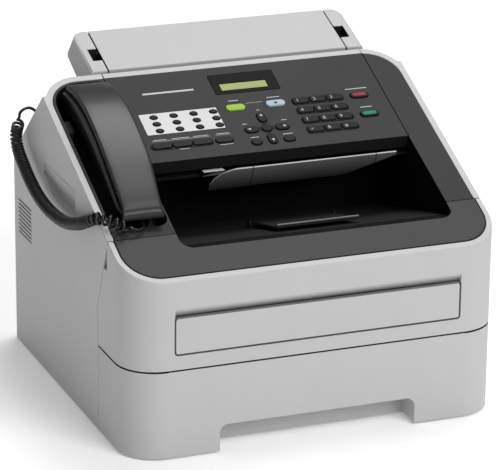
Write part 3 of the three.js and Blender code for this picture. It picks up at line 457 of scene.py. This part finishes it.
def smooth_line(points, step):
    """A Catmull-Rom line through the points, with one point every step."""
    pts = [Vector(p) for p in points]
    pts = [2 * pts[0] - pts[1]] + pts + [2 * pts[-1] - pts[-2]]
    dense = []
    for a, b, c, d in zip(pts, pts[1:], pts[2:], pts[3:]):
        for i in range(SPLINE_PARTS):
            t = i / SPLINE_PARTS
            dense.append(0.5 * (
                2 * b + (c - a) * t
                + (2 * a - 5 * b + 4 * c - d) * t * t
                + (3 * b - a - 3 * c + d) * t ** 3
            ))
    dense.append(pts[-2])
    line = [dense[0]]
    left = step
    for p, q in zip(dense, dense[1:]):
        gap = (q - p).length
        while gap >= left and gap > 0:
            p = p.lerp(q, left / gap)
            gap = (q - p).length
            line.append(p.copy())
            left = step
        left -= gap
    return line


def cord_line():
    """The whole cord's centreline: a helix round its axis that narrows to a straight lead at each end."""
    axis = smooth_line(JACK_LEAD + CURL_ROUTE + HANDSET_LEAD, AXIS_STEP)
    start = len(smooth_line(JACK_LEAD, AXIS_STEP))
    end = len(axis) - len(smooth_line(HANDSET_LEAD, AXIS_STEP))
    last = len(axis) - 1
    points = []
    turn = math.pi
    taken = 0.0
    side = Vector((1, 0, 0))
    for i, p in enumerate(axis):
        along = (axis[min(i + 1, last)] - axis[max(i - 1, 0)]).normalized()
        side = (side - along * side.dot(along)).normalized()
        other = along.cross(side)
        opening = ramp((i - start) * AXIS_STEP / SWELL["jack"])
        closing = ramp((end - i) * AXIS_STEP / SWELL["handset"])
        radius = COIL_RADIUS * opening * closing
        # A turn of a narrowing helix stays long enough to bend no tighter than the coil.
        gentle = 2 * math.pi * math.sqrt(radius * max(0.0, TIGHTEST_BEND - radius))
        share = (i - start) / (end - start)
        spread = OPEN_TURNS["wider"] * ramp((share - OPEN_TURNS["from"]) / OPEN_TURNS["over"])
        pitch = max(COIL_PITCH + spread, gentle)
        turn += 2 * math.pi * AXIS_STEP / pitch
        straight = radius < STRAIGHT
        taken += AXIS_STEP * (1 if straight else math.hypot(1, 2 * math.pi * radius / pitch))
        if i in (0, last) or taken >= POINT_GAP["lead" if straight else "coil"]:
            points.append(p + radius * (math.cos(turn) * side + math.sin(turn) * other))
            taken = 0.0
    if (points[-1] - points[-2]).length < POINT_GAP["least"]:
        del points[-2]
    return points


def tube_mesh(name, points, radius, sides=8):
    """A closed tube along points."""
    bm = bmesh.new()
    rings = []
    side = Vector((0, 0, 1))
    for i, p in enumerate(points):
        along = (points[min(i + 1, len(points) - 1)] - points[max(i - 1, 0)]).normalized()
        side = (side - along * side.dot(along)).normalized()
        other = along.cross(side)
        ring = []
        for k in range(sides):
            angle = 2 * math.pi * k / sides
            ring.append(bm.verts.new((p + radius * (math.cos(angle) * side + math.sin(angle) * other)) * MM))
        rings.append(ring)
    for a, b in zip(rings, rings[1:]):
        for k in range(sides):
            bm.faces.new((a[k], a[(k + 1) % sides], b[(k + 1) % sides], b[k]))
    bm.faces.new(list(reversed(rings[0])))
    bm.faces.new(rings[-1])
    return mesh_of(bm, name)


wire_line = cord_line()
cord_mesh = tube_mesh("handset_cord", wire_line, WIRE / 2)
cord = bpy.data.objects.new("handset_cord", cord_mesh)
scene.collection.objects.link(cord)
cord_mesh.materials.append(MATERIALS["cord"])
cord_mesh.shade_smooth()
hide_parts("cord_lead_jack", "cord_coil", "cord_lead_handset")
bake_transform(cord)

# ---- Painted shade, painted highlights and own colours on the faces of the CAD shapes: each paint function names a face's material ----
# How far a face's normal must lean along an axis: straight along it, flat, half way or a little.
ALONG = 0.9
FLAT = 0.8
HALFWAY = 0.5
LEANING = 0.3
# The boxes and limits that tell the faces apart.
# Faces deeper than SKIN_DEPTH under the top plane, and the output opening's walls above OPENING_LOW, are
# painted black as painted shade.
SKIN_DEPTH = 0.4
OPENING_LOW = 165
RECESS = {"half": 140.2, "y": (-174.8, -169.5), "z": (132, 145.5)}
SCOOP = {"x": (-57, 135), "y": (-40, -24), "z": (198, 223.5), "heel": -31.5, "lip": 208}
LEDGE = {"right": -41, "low": 219}
BAY_FLOOR = {"half": 140, "back": 40, "z": (140, 200)}
WELL_RIGHT = -118
OUTPUT_LIP_Y = -94.2
SUPPORT_X = (-109.4, 137.9)
FINGER_HOLES = {"x": [(-118.5, -105.0), (133.5, 147.0)], "y": (111.9, 130.1), "high": 300}


def middle(face):
    """The middle of a face."""
    return face.calc_center_median() / MM


def in_tray_seam(face):
    """Whether a face is one of the two that meet along the seam over the paper tray."""
    return within(middle(face).z, TRAY_SEAM_Z) and abs(face.normal.z) > ALONG


def paint_paper_tray(face):
    # The faces along the seam over the tray are painted dark as painted shade.
    return "gap" if in_tray_seam(face) else "body_grey"


def paint_front_cover(face):
    """The finger recess over the feed flap darkens towards its bottom as painted shade, and the walls of the
    output opening and the seam over the tray are painted dark as painted shade.
    """
    if in_tray_seam(face):
        return "gap"
    at = middle(face)
    in_recess = abs(at.x) < RECESS["half"] and within(at.y, RECESS["y"]) and within(at.z, RECESS["z"])
    if in_recess and face.normal.y < 0:
        return "recess_painted_shade"
    in_opening = within(at.x, (OPENING["left"], OPENING["right"]), 1) and at.y > OPENING["front"] - 0.5
    return "black_plastic" if in_opening and at.z > OPENING_LOW else "body_grey"


def paint_scoop(face):
    """The up-facing faces along the document scoop's upper edge are painted light as a painted highlight; the
    rest darkens towards the bottom as painted shade.
    """
    return "lip" if face.normal.z > LEANING and middle(face).z > SCOOP["lip"] else "flap_grey"


def paint_top_housing(face):
    """Faces under the skin of the top are painted black as painted shade, the well's walls a little less dark
    and the bay's upward floor lighter still; in the document scoop the ledge's front and the faces behind its
    heel are painted black as painted shade.
    """
    at = middle(face)
    if within(at.x, SCOOP["x"]) and within(at.y, SCOOP["y"]) and within(at.z, SCOOP["z"]):
        ledge_front = face.normal.y < -ALONG and at.x < LEDGE["right"] and at.z > LEDGE["low"]
        return "black_plastic" if ledge_front or at.y > SCOOP["heel"] else paint_scoop(face)
    over_bay = abs(at.x) < BAY_FLOOR["half"] and at.y < BAY_FLOOR["back"] and within(at.z, BAY_FLOOR["z"])
    if over_bay and face.normal.z > FLAT:
        return "bay_floor"
    if below_top(at) <= SKIN_DEPTH:
        return "panel_grey"
    return "well_black" if at.x < WELL_RIGHT else "black_plastic"


def paint_panel(face):
    # Faces under the panel's skin, such as the walls of its holes, are painted black as painted shade.
    return "black_plastic" if below_top(middle(face)) > SKIN_DEPTH else "panel_grey"


def paint_feed_flap(face):
    """The flap's top edge takes the finger recess's painted shade and its sides the painted shade of the seam
    round it.
    """
    if face.normal.z > HALFWAY:
        return "recess_painted_shade"
    return "seam_painted_shade" if abs(face.normal.y) < HALFWAY else "body_grey"


def paint_document_support(face):
    # The side faces of the support are painted dark as painted shade in the seams beside it.
    return "gap" if abs(face.normal.x) > ALONG else "tray_grey"


def paint_document_tray(face):
    """The narrow walls beside the support flap and inside the finger holes are in deep shade."""
    at = middle(face)
    beside_support = abs(face.normal.x) > ALONG and within(at.x, SUPPORT_X, 1)
    in_hole = within(at.y, FINGER_HOLES["y"]) and at.z < FINGER_HOLES["high"]
    if in_hole and any(within(at.x, hole, 0.1) for hole in FINGER_HOLES["x"]):
        return "gap"
    return "gap" if beside_support and face.normal.z < HALFWAY else "tray_grey"


def paint_output_flap(face):
    """The up-facing faces of the raised front edge of the flap are painted a little lighter as a painted
    highlight.
    """
    return "lip_dark" if middle(face).y < OUTPUT_LIP_Y and face.normal.z > LEANING else "bay_floor"


PAINT = {
    "front_cover": (["body_grey", "black_plastic", "gap", "recess_painted_shade"], paint_front_cover),
    "paper_tray": (["body_grey", "gap"], paint_paper_tray),
    "output_support_flap": (["bay_floor", "lip_dark"], paint_output_flap),
    "top_housing": (
        ["panel_grey", "black_plastic", "flap_grey", "lip", "bay_floor", "well_black"],
        paint_top_housing,
    ),
    "document_exit_flap": (["flap_grey", "lip"], paint_scoop),
    "control_panel": (["panel_grey", "black_plastic"], paint_panel),
    "manual_feed_flap": (["body_grey", "seam_painted_shade", "recess_painted_shade"], paint_feed_flap),
    "document_support": (["tray_grey", "gap"], paint_document_support),
    "document_tray": (["tray_grey", "gap"], paint_document_tray),
    "key_stop": (["key_black"], None),
    "key_start": (["key_black"], None),
}

# ---- The CAD shapes, with rounded edges: the width of the rounding and its number of segments ----
PLAIN_EDGE = (0.5, 2)
KEY_EDGE = (0.9, 3)
EDGES = {
    "front_cover": (1.0, 3),
    "paper_tray": (0.8, 3),
    "manual_feed_flap": (0.6, 3),
    "control_panel": (0.0, 2),
    "top_housing": (0.4, 2),
    "document_tray": (1.2, 3),
    "document_support": (0.7, 3),
    "one_touch_keys": (0.6, 3),
    "function_keys": (0.6, 3),
}
SAME_POINT = 0.002
GRIP = {"y": (-31, 73), "z": (188, 216)}
OWN_SHAPE = {"handset", "cord_lead_jack", "cord_coil", "cord_lead_handset"}
BODY_OF = {node: body for body, nodes in frame["record"]["behaviour"]["bodies"].items() for node in nodes}
SLOT_OF = {entry["node"]: entry["material_slot"] for entry in frame["record"]["subparts"]}


def crisp_grip(mesh):
    """The shallow edges of the finger pockets in the sides stay crisp."""
    def in_grip(item):
        points = [mesh.vertices[v].co / MM for v in item.vertices]
        return all(within(p.y, GRIP["y"]) and within(p.z, GRIP["z"]) for p in points)

    for edge in mesh.edges:
        if in_grip(edge):
            edge.use_edge_sharp = True
    for face in mesh.polygons:
        if in_grip(face):
            face.use_smooth = False


def refined(node):
    """A CAD node's shape, painted and with rounded edges, in place of the node."""
    slot = SLOT_OF[node]
    mats, paint = PAINT.get(node, ([slot], None))
    width, segments = EDGES.get(node, KEY_EDGE if node.startswith("key_") else PLAIN_EDGE)
    bm = bmesh.new()
    bm.from_mesh(frame["nodes"][node].data)
    bmesh.ops.remove_doubles(bm, verts=bm.verts, dist=SAME_POINT * MM)
    mesh = mesh_of(bm, node + "_shape", mats, paint)
    obj = add_object(node + "_shape", mesh, BODY_OF[node], mats)
    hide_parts(node)
    soften(obj, width, segments)
    if node.endswith("side_cover"):
        crisp_grip(mesh)


for node in sorted(frame["nodes"]):
    if node not in OWN_SHAPE:
        refined(node)

# ---- The dark strip round the front of the output opening, on a wider black sheet whose rim shows as painted shade in the thin gap round it ----
STRIP_SHADE_RIM = 1.4
STRIP_HEIGHTS = (0.0, 0.38)
SHADE_SHEET_HEIGHTS = (0.0, 0.10)
STRIP_SPARE = 0.3
STRIP_SEAM = 0.7


def plan_arc(x, front, radius, start, end, steps):
    """A corner in (x, s) that is round when seen from above, on a circle whose front is at s = front."""
    stretch = 1 / math.cos(TOP_ANGLE)
    return [(px, front + (py + radius) * stretch) for px, py in arc(x, 0, radius, start, end, steps)]


def front_strip(grow):
    """A U-shaped outline in (x, s): round the rim's inner edge, then back round the opening."""
    side = HALF_WIDTH - RIM + grow
    front = slope_at(INLAY["front"]) - grow
    radius = CORNER - RIM + grow
    seam = slope_at(TOP_SEAM_Y) - (0 if grow else STRIP_SEAM)
    left = OPENING["left"] - STRIP_SPARE
    right = OPENING["right"] + STRIP_SPARE
    inner_front = slope_at(OPENING["front"]) - STRIP_SPARE + grow * 0.2
    hole = OPENING["corner"]
    return (
        [(-side, seam)]
        + plan_arc(-side + radius, front, radius, 180, 270, 12)
        + plan_arc(side - radius, front, radius, 270, 360, 12)
        + [(side, seam), (right, seam)]
        + plan_arc(right - hole, inner_front, hole, 360, 270, 6)
        + plan_arc(left + hole, inner_front, hole, 270, 180, 6)
        + [(left, seam)]
    )


plate(
    "front_strip_shade_sheet", [front_strip(STRIP_SHADE_RIM)], SHADE_SHEET_HEIGHTS,
    "front_cover", "black_plastic",
)
plate(
    "front_strip", [front_strip(0)], STRIP_HEIGHTS,
    "front_cover", "strip_grey", width=0.15,
)

# ---- Painted shade in the seam round the manual feed flap, and on the floor of the finger recess over it ----
COVER_FRONT = -175.04
SEAM_BACK = -174.7
SEAM_INSETS = (-0.55, 0.5)
RECESS_FLOOR = {"half": 139.2, "z0": 135.3, "z1": 135.65, "back": -170.7}


def seam_line(inset):
    """The line down the left side of the flap, along its lower edge and up its right side."""
    half = FEED_FLAP["half"] - inset
    low = FEED_FLAP["low"] + inset
    high = FEED_FLAP["high"] - 1
    radius = FEED_FLAP["corner"] - inset
    return (
        [(-half, high)]
        + arc(-half + radius, low + radius, radius, 180, 270, 6)
        + arc(half - radius, low + radius, radius, 270, 360, 6)
        + [(half, high)]
    )


def recess_line(z):
    return [(-RECESS_FLOOR["half"], z), (RECESS_FLOOR["half"], z)]


upright_strip(
    "feed_flap_seam", seam_line(SEAM_INSETS[0]), seam_line(SEAM_INSETS[1]),
    COVER_FRONT, SEAM_BACK, "front_cover", "seam_painted_shade",
)
upright_strip(
    "feed_recess_floor", recess_line(RECESS_FLOOR["z1"]), recess_line(RECESS_FLOOR["z0"]),
    SEAM_BACK, RECESS_FLOOR["back"], "front_cover", "recess_floor_painted_shade",
)

# ---- The rounded front edge of the output support flap, a lighter bead as a painted highlight ----
BEAD = {"radius": 0.75, "behind": 0.5, "under": 0.45, "end": 0.3, "sides": 12}


def output_flap_edge():
    """A lighter bead along the highest and foremost edge of the flap, as a painted highlight."""
    points = [v.co / MM for v in frame["nodes"]["output_support_flap"].data.vertices]
    front = min(p.y for p in points)
    top = max(p.z for p in points if p.y < front + 1)
    section = oval(BEAD["behind"], -BEAD["under"], BEAD["radius"], BEAD["radius"], BEAD["sides"])
    rings = []
    for x in (min(p.x for p in points) + BEAD["end"], max(p.x for p in points) - BEAD["end"]):
        rings.append([Vector((x, front + dy, top + dz)) * MM for dy, dz in section])
    loft("output_flap_edge", rings, "output_support_flap", ["lip_grey"], smooth=False)


output_flap_edge()

# ---- The light strip behind the panel's dark face, and black strips as painted shade in the gaps along the panel's sides ----
REAR_STRIP_X = (PANEL["left"] + 0.1, PANEL["right"] - 0.1)
REAR_STRIP_S = (slope_at(INLAY["back"]), slope_at(PANEL["back"]))
REAR_STRIP_HEIGHTS = (-0.2, 0.35)
PANEL_SEAMS = {"left": (-119.0, -118.2), "right": (148.7, 149.7)}
PANEL_SEAM_S = (slope_at(PANEL["front"]), slope_at(INLAY["back"] - 0.2))
PANEL_SEAM_HEIGHTS = (-0.5, 0.06)
plate(
    "panel_rear_strip", [round_box(*REAR_STRIP_X, *REAR_STRIP_S, radius=0.3, steps=2)],
    REAR_STRIP_HEIGHTS, "panel", "tray_grey", width=0.15,
)
for side, seam_x in PANEL_SEAMS.items():
    plate(
        "panel_seam_" + side, [round_box(*seam_x, *PANEL_SEAM_S, radius=0.1, steps=1)],
        PANEL_SEAM_HEIGHTS, "base", "black_plastic",
    )

# ---- Display ----
GLASS_INSET = 0.2
GLASS_X = (LCD["left"] + GLASS_INSET, LCD["right"] - GLASS_INSET)
GLASS_S = (LCD["low"] + GLASS_INSET, LCD["high"] - GLASS_INSET)
GLASS_HEIGHTS = (-0.95, -0.35)
plate(
    "display_glass", [round_box(*GLASS_X, *GLASS_S, radius=0.6, steps=3)],
    GLASS_HEIGHTS, "panel", "lcd",
)

# ---- Key surrounds ----
DIAL_HOLE = {"half_x": 8.4, "half_s": 4.2, "corner": 2.2}
DIAL_BAR = {"left": 52.0, "right": 106.2, "half_s": 5.2, "corner": 4.6}
DIAL_BAR_HEIGHTS = (0.0, 0.55)
FUNCTION_HOLE = {"half_x": 9.9, "half_s": 4.0, "corner": 3.0}
FUNCTION_BAR = {"left": -104.6, "right": -42.2, "half_s": 4.6, "corner": 3.6}
FUNCTION_BAR_HEIGHTS = (0.0, 0.5)


def key_hole(hole, x, s, steps):
    """The outline of the hole for a key at (x, s)."""
    half_x = hole["half_x"]
    half_s = hole["half_s"]
    return round_box(x - half_x, x + half_x, s - half_s, s + half_s, hole["corner"], steps)


def key_bar(bar, s, steps):
    """The outline of the bar round a row of keys."""
    return round_box(bar["left"], bar["right"], s - bar["half_s"], s + bar["half_s"], bar["corner"], steps)


for row, s in enumerate(DIAL_S):
    plate(
        f"dial_row_{row + 1}",
        [key_bar(DIAL_BAR, s, 8)] + [key_hole(DIAL_HOLE, x, s, 4) for x in DIAL_X],
        DIAL_BAR_HEIGHTS, "panel", "key_black", width=0.2,
    )
plate(
    "function_bar",
    [key_bar(FUNCTION_BAR, FUNCTION_S, 6)] + [key_hole(FUNCTION_HOLE, x, FUNCTION_S, 6) for x in FUNCTION_X],
    FUNCTION_BAR_HEIGHTS, "panel", "key_black", width=0.2,
)

# ---- Navigation keys: a cross between them, and an arrowhead on each ----
CROSS_CORNER = [(-13, -2), (-4, -2), (-2, -4), (-2, -13)]
CROSS_HOLE = (5.9, 5.1)
ARROWHEAD = [(2.3, 0), (-0.9, 1.5), (-0.9, -1.5)]
CROSS_HEIGHTS = (0.0, 0.25)
ON_KEY_HEIGHTS = (KEY_TOP, KEY_TOP + 0.08)
cross = [point for quarters in range(4) for point in quarter_turned(CROSS_CORNER, quarters)]
plate(
    "navigation_cross",
    [
        [(NAVIGATION["x"] + dx, NAVIGATION["s"] + ds) for dx, ds in cross],
        oval(NAVIGATION["x"], NAVIGATION["s"], *CROSS_HOLE),
    ],
    CROSS_HEIGHTS, "panel", "key_black",
)
for quarters, key in enumerate(["right", "up", "left", "down"]):
    arrow = [(x + NAVIGATION["reach"], s) for x, s in ARROWHEAD]
    outline = [(NAVIGATION["x"] + x, NAVIGATION["s"] + s) for x, s in quarter_turned(arrow, quarters)]
    plate("arrow_" + key, [outline], ON_KEY_HEIGHTS, "key_" + key, "print")

# ---- Coloured centres of the stop and start keys, the mark on the copy key, and the one-touch label ----
CENTRE = {"half_x": 6.9, "front": 2.1, "back": 2.4}
CENTRE_HEIGHTS = (KEY_TOP - 0.05, KEY_TOP + 0.12)
COPY_MARK = (34.2, 37.2, 220.9, 223.3)
ONE_TOUCH_HOLE = (4.3, 3.5)
ONE_TOUCH_LABEL = (-102, -24.2, 195.8, 225.5)
LABEL_HEIGHTS = (0.0, 0.3)
for key, s, colour in [("stop", STOP_S, "key_red"), ("start", START_S, "key_teal")]:
    centre_x = (WIDE_KEY_X - CENTRE["half_x"], WIDE_KEY_X + CENTRE["half_x"])
    centre_s = (s - CENTRE["front"], s + CENTRE["back"])
    plate(
        key + "_key_centre", [round_box(*centre_x, *centre_s, radius=2.0, steps=6)],
        CENTRE_HEIGHTS, "key_" + key, colour,
    )
plate(
    "copy_key_mark", [round_box(*COPY_MARK, radius=0.5, steps=3)],
    ON_KEY_HEIGHTS, "key_mode_copy", "gap",
)
label_holes = [oval(x, s, *ONE_TOUCH_HOLE) for x in ONE_TOUCH_X for s in ONE_TOUCH_S]
plate(
    "one_touch_label", [round_box(*ONE_TOUCH_LABEL, radius=0.8, steps=3)] + label_holes,
    LABEL_HEIGHTS, "panel", "label", width=0.1,
)

# ---- Plain marks where captions are, with no lettering: name, left, right, front and back in (x, s) ----
MARKS = [
    ("panel_bar", -88.5, -36.8, 253.0, 255.4),
    ("function_line", -101.0, -43.5, 186.2, 186.6),
    ("function_line_end", -37.5, -22.5, 186.4, 186.8),
    ("fax_mark", -9.0, 1.0, 232.1, 233.0),
    ("copy_mark", 30.0, 43.0, 231.6, 232.5),
    ("mode_line", 6.5, 24.0, 226.9, 227.3),
    ("stop_mark", 111.5, 134.0, 231.6, 232.6),
    ("start_mark", 117.0, 128.8, 204.0, 205.0),
    ("up_mark", 13.6, 17.0, 215.4, 216.2),
    ("left_mark", -7.0, -2.2, 197.4, 198.2),
    ("right_mark", 33.0, 38.5, 197.9, 198.7),
    ("menu_mark", -4.8, 3.0, 177.6, 178.4),
    ("clear_mark", 27.6, 37.4, 177.9, 178.7),
    ("function_mark_1", -99.5, -86.0, 187.8, 188.5),
    ("function_mark_2", -81.0, -63.5, 187.8, 188.5),
    ("function_mark_3", -59.5, -44.5, 187.8, 188.5),
    ("function_mark_4", -36.2, -23.6, 188.0, 188.7),
    ("function_mark_5", -78.0, -68.0, 172.4, 173.0),
    ("function_mark_6", -37.6, -24.4, 172.4, 173.0),
]
MARK_HEIGHTS = (0.0, 0.12)
for name, *sides in MARKS:
    plate(name, [round_box(*sides, radius=0.18, steps=2)], MARK_HEIGHTS, "panel", "print")

# ---- Numbers on the dial keys ----
SIGNS = {"star": "*", "hash": "#"}
NUMBER = {"size": 5.6, "thick": 0.05, "left": 3.6, "star_drop": 0.8}


def key_number(key, x, s):
    """A raised pale number on a dial key."""
    curve = bpy.data.curves.new(key + "_number", "FONT")
    curve.body = SIGNS.get(key, key)
    curve.size = NUMBER["size"] * MM
    curve.extrude = NUMBER["thick"] * MM
    curve.align_x = "CENTER"
    curve.align_y = "CENTER"
    text = bpy.data.objects.new(key + "_text", curve)
    scene.collection.objects.link(text)
    bpy.context.view_layer.update()
    mesh = bpy.data.meshes.new_from_object(text.evaluated_get(bpy.context.evaluated_depsgraph_get()))
    bpy.data.objects.remove(text)
    mesh.transform(Matrix.Translation(on_top(x, s, KEY_TOP + 0.02)) @ Matrix.Rotation(TOP_ANGLE, 4, "X"))
    add_object("number_" + key, mesh, "key_" + key, ["print"])


for i, key in enumerate(DIAL_NAMES):
    drop = NUMBER["star_drop"] if key == "star" else 0
    key_number(key, DIAL_X[i % 3] - NUMBER["left"], DIAL_S[i // 3] - drop)

# ---- Handset: a grey upper shell on a black lower one ----
# Its side view: distance up the slope, height of the top over the top plane, height of the side's lower edge.
HANDSET_LINE = [
    (77.0, 8.5, 6.4),
    (77.8, 12.0, 6.0),
    (80.0, 14.4, 5.6),
    (88.0, 16.0, 5.4),
    (98.0, 18.2, 5.4),
    (115.0, 21.4, 5.6),
    (140.0, 25.6, 6.0),
    (165.0, 28.6, 6.2),
    (190.0, 30.0, 6.0),
    (212.0, 29.2, 4.4),
    (228.0, 26.6, 0.0),
    (242.0, 22.6, -6.0),
    (254.0, 17.2, -10.0),
    (263.0, 12.4, -12.5),
    (269.0, 7.6, -13.5),
    (272.4, 2.6, -13.8),
    (273.6, -4.0, -14.0),
]
STATION_GAP = 4
TAPER = {"by": 5.2, "from": 150, "over": 72}
REAR = {"from": 258, "over": 15, "power": 2.4, "left": 9.5, "right": 6.0}
SHELL = {"thick": 8.0, "least": 0.8, "crown": 0.35, "right_corner": 3.4, "left_corner": 1.8}
CORNER_LIMIT = {"least": 0.6, "share": 0.45}
FOOT = {"in": 0.5, "up": 0.4}
LEDGE_ON_LOWER = {"width": 2.6, "over": 12}
LOWER = {"start": 79, "slack": 0.6, "least": 1.2, "right": 1.1, "left": -0.3}
NARROWER = {"by": 3.5, "until": 100, "over": 20}
UPRIGHT_SIDE = 0.93


def handset_sides(s):
    """The left and right edges of the handset at a distance up the slope."""
    taper = TAPER["by"] * ramp((TAPER["from"] - s) / TAPER["over"])
    rear = (max(0.0, s - REAR["from"]) / REAR["over"]) ** REAR["power"]
    return HANDSET["left"] + REAR["left"] * rear, HANDSET["right"] - taper - REAR["right"] * rear


def shell_ring(s, top, low, left_inset, right_inset, crown):
    """A ring across the handset: rounded upper corners and a slightly crowned top."""
    left, right = handset_sides(s)
    left += left_inset
    right -= right_inset
    centre = (left + right) / 2
    half = (right - left) / 2
    limit = max(CORNER_LIMIT["least"], (top - low) * CORNER_LIMIT["share"])
    right_corner = min(SHELL["right_corner"], limit)
    left_corner = min(SHELL["left_corner"], limit)
    flat_from = right - right_corner
    flat_to = left + left_corner
    foot = low + FOOT["up"]
    points = arc(flat_from, top - right_corner, right_corner, 0, 90, 5)
    for i in range(1, 8):
        x = flat_from + (flat_to - flat_from) * i / 8
        points.append((x, top + crown * (1 - ((x - centre) / half) ** 2)))
    points += arc(flat_to, top - left_corner, left_corner, 90, 180, 5)
    points += [(left, foot), (left + FOOT["in"], low), (right - FOOT["in"], low), (right, foot)]
    return [on_top(x, s, n) for x, n in points]


def line_height(column, s):
    """Height of one of the handset's side lines at a distance up the slope, on a cubic through its points."""
    table = HANDSET_LINE
    for i in range(len(table) - 1):
        if s <= table[i + 1][0]:
            break
    before, a = table[max(i - 1, 0)], table[i]
    b, after = table[i + 1], table[min(i + 2, len(table) - 1)]
    span = b[0] - a[0]
    t = (s - a[0]) / span
    rise_a = (b[column] - before[column]) / (b[0] - before[0]) * span
    rise_b = (after[column] - a[column]) / (after[0] - a[0]) * span
    share_a = 2 * t ** 3 - 3 * t * t + 1
    slopes = (t ** 3 - 2 * t * t + t) * rise_a + (t ** 3 - t * t) * rise_b
    return share_a * a[column] + (1 - share_a) * b[column] + slopes


def handset_stations():
    """Distances up the slope at which the handset has a ring."""
    stations = []
    for a, b in zip(HANDSET_LINE, HANDSET_LINE[1:]):
        parts = max(1, round((b[0] - a[0]) / STATION_GAP))
        stations += [a[0] + (b[0] - a[0]) * i / parts for i in range(parts)]
    return stations + [HANDSET_LINE[-1][0]]


def paint_upper(face):
    """The crown and rounded corners are grey; the upright sides, of the same grey shell, are painted black as
    painted shade.
    """
    dark = abs(face.normal.x) > UPRIGHT_SIDE or face.normal.dot(TOP_NORMAL) < -LEANING
    return "handset_black" if dark else "handset_grey"


def paint_lower(face):
    """The narrow ledge beside the upper shell is painted a little lighter as a painted highlight."""
    corner = face.normal.x < -LEANING and face.normal.dot(TOP_NORMAL) > LEANING
    return "handset_ledge_painted_highlight" if corner else "handset_black"


def add_handset():
    """The two shells, which meet along a parting line under the grey one."""
    upper_rings = []
    lower_rings = []
    for s in handset_stations():
        top = line_height(1, s)
        low = line_height(2, s)
        parting = max(low + SHELL["least"], top - SHELL["thick"])
        ledge = LEDGE_ON_LOWER["width"] * ramp((s - HANDSET["start"]) / LEDGE_ON_LOWER["over"])
        upper_rings.append(shell_ring(s, top, parting, ledge, 0.0, SHELL["crown"]))
        if s > LOWER["start"]:
            narrower = NARROWER["by"] * ramp((NARROWER["until"] - s) / NARROWER["over"])
            floor = min(low, parting - LOWER["least"])
            left_inset = LOWER["left"] + narrower
            right_inset = LOWER["right"] + narrower
            lower_top = parting + LOWER["slack"]
            lower_rings.append(shell_ring(s, lower_top, floor, left_inset, right_inset, 0.0))
    upper_mats = ["handset_grey", "handset_black"]
    lower_mats = ["handset_black", "handset_ledge_painted_highlight"]
    upper = loft("handset_upper", upper_rings, "handset", upper_mats, paint_upper)
    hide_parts("handset")
    loft("handset_lower", lower_rings, "handset", lower_mats, paint_lower)


def cup(name, s, radius, low, high):
    """A round ear or mouth piece: a hollow face, a stepped rim and a wall that narrows upwards."""
    rings = []
    for share, n in [
        (0.2, low + 0.8), (0.72, low + 0.8), (0.78, low), (0.94, low),
        (1, low + 0.8), (1, low + 4), (0.95, high - 1.2), (0.9, high),
    ]:
        r = radius * share
        rings.append([on_top(HANDSET["cup_x"] + x, s + y, n) for x, y in oval(0, 0, r, r, 40)])
    loft(name, rings, "handset", ["handset_black"])


add_handset()
cup("handset_mouth_cup", HANDSET["mouth"], 14.6, -17.6, 6.5)
cup("handset_ear_cup", HANDSET["ear"], 18.4, -17.6, 0)

# ---- Light and floor, in metres: the studio is dim near the horizon and brighter overhead ----
SKY = {"From Min": 0.35, "From Max": 0.75, "To Min": 0.16, "To Max": 0.42}
LAMP_TARGET = Vector((0, 0, 0.15))
FLOOR_SIZE = 6
FLOOR_GLOW = 0.22
FLOOR_Z = -0.0002


def add_studio():
    """A white world whose strength follows the height in the sky."""
    world = bpy.data.worlds.new("studio")
    scene.world = world
    world.use_nodes = True
    nodes = world.node_tree.nodes
    links = world.node_tree.links
    backdrop = nodes["Background"]
    backdrop.inputs["Color"].default_value = (1, 1, 1, 1)
    direction = nodes.new("ShaderNodeTexCoord")
    split = nodes.new("ShaderNodeSeparateXYZ")
    dimmer = nodes.new("ShaderNodeMapRange")
    for socket, value in SKY.items():
        dimmer.inputs[socket].default_value = value
    links.new(direction.outputs["Generated"], split.inputs["Vector"])
    links.new(split.outputs["Z"], dimmer.inputs["Value"])
    links.new(dimmer.outputs["Result"], backdrop.inputs["Strength"])
    scene.view_settings.view_transform = "Standard"


def lamp(name, at, size, power):
    """A square soft light that looks at the machine."""
    light = bpy.data.lights.new(name, "AREA")
    light.shape = "SQUARE"
    light.size = size
    light.energy = power
    obj = bpy.data.objects.new(name, light)
    obj.location = at
    obj.rotation_euler = (LAMP_TARGET - Vector(at)).to_track_quat("-Z", "Y").to_euler()
    scene.collection.objects.link(obj)


def add_floor():
    """A plain pale floor that glows a little, so that shadows on it stay faint."""
    bm = bmesh.new()
    bmesh.ops.create_grid(bm, x_segments=2, y_segments=2, size=FLOOR_SIZE)
    mesh = mesh_of(bm, "floor")
    floor = bpy.data.objects.new("floor", mesh)
    scene.collection.objects.link(floor)
    look = material("floor", grey(0.93), 0.8, bump=0.0, mottle=0.01)
    shader = look.node_tree.nodes["Principled BSDF"]
    shader.inputs["Emission Color"].default_value = (1, 1, 1, 1)
    shader.inputs["Emission Strength"].default_value = FLOOR_GLOW
    mesh.materials.append(look)
    floor.location.z = FLOOR_Z


add_studio()
lamp("key_light", (0.75, -2.4, 1.95), 1.6, 57)
lamp("top_light", (0.59, 0.66, 2.4), 1.15, 32)
add_floor()
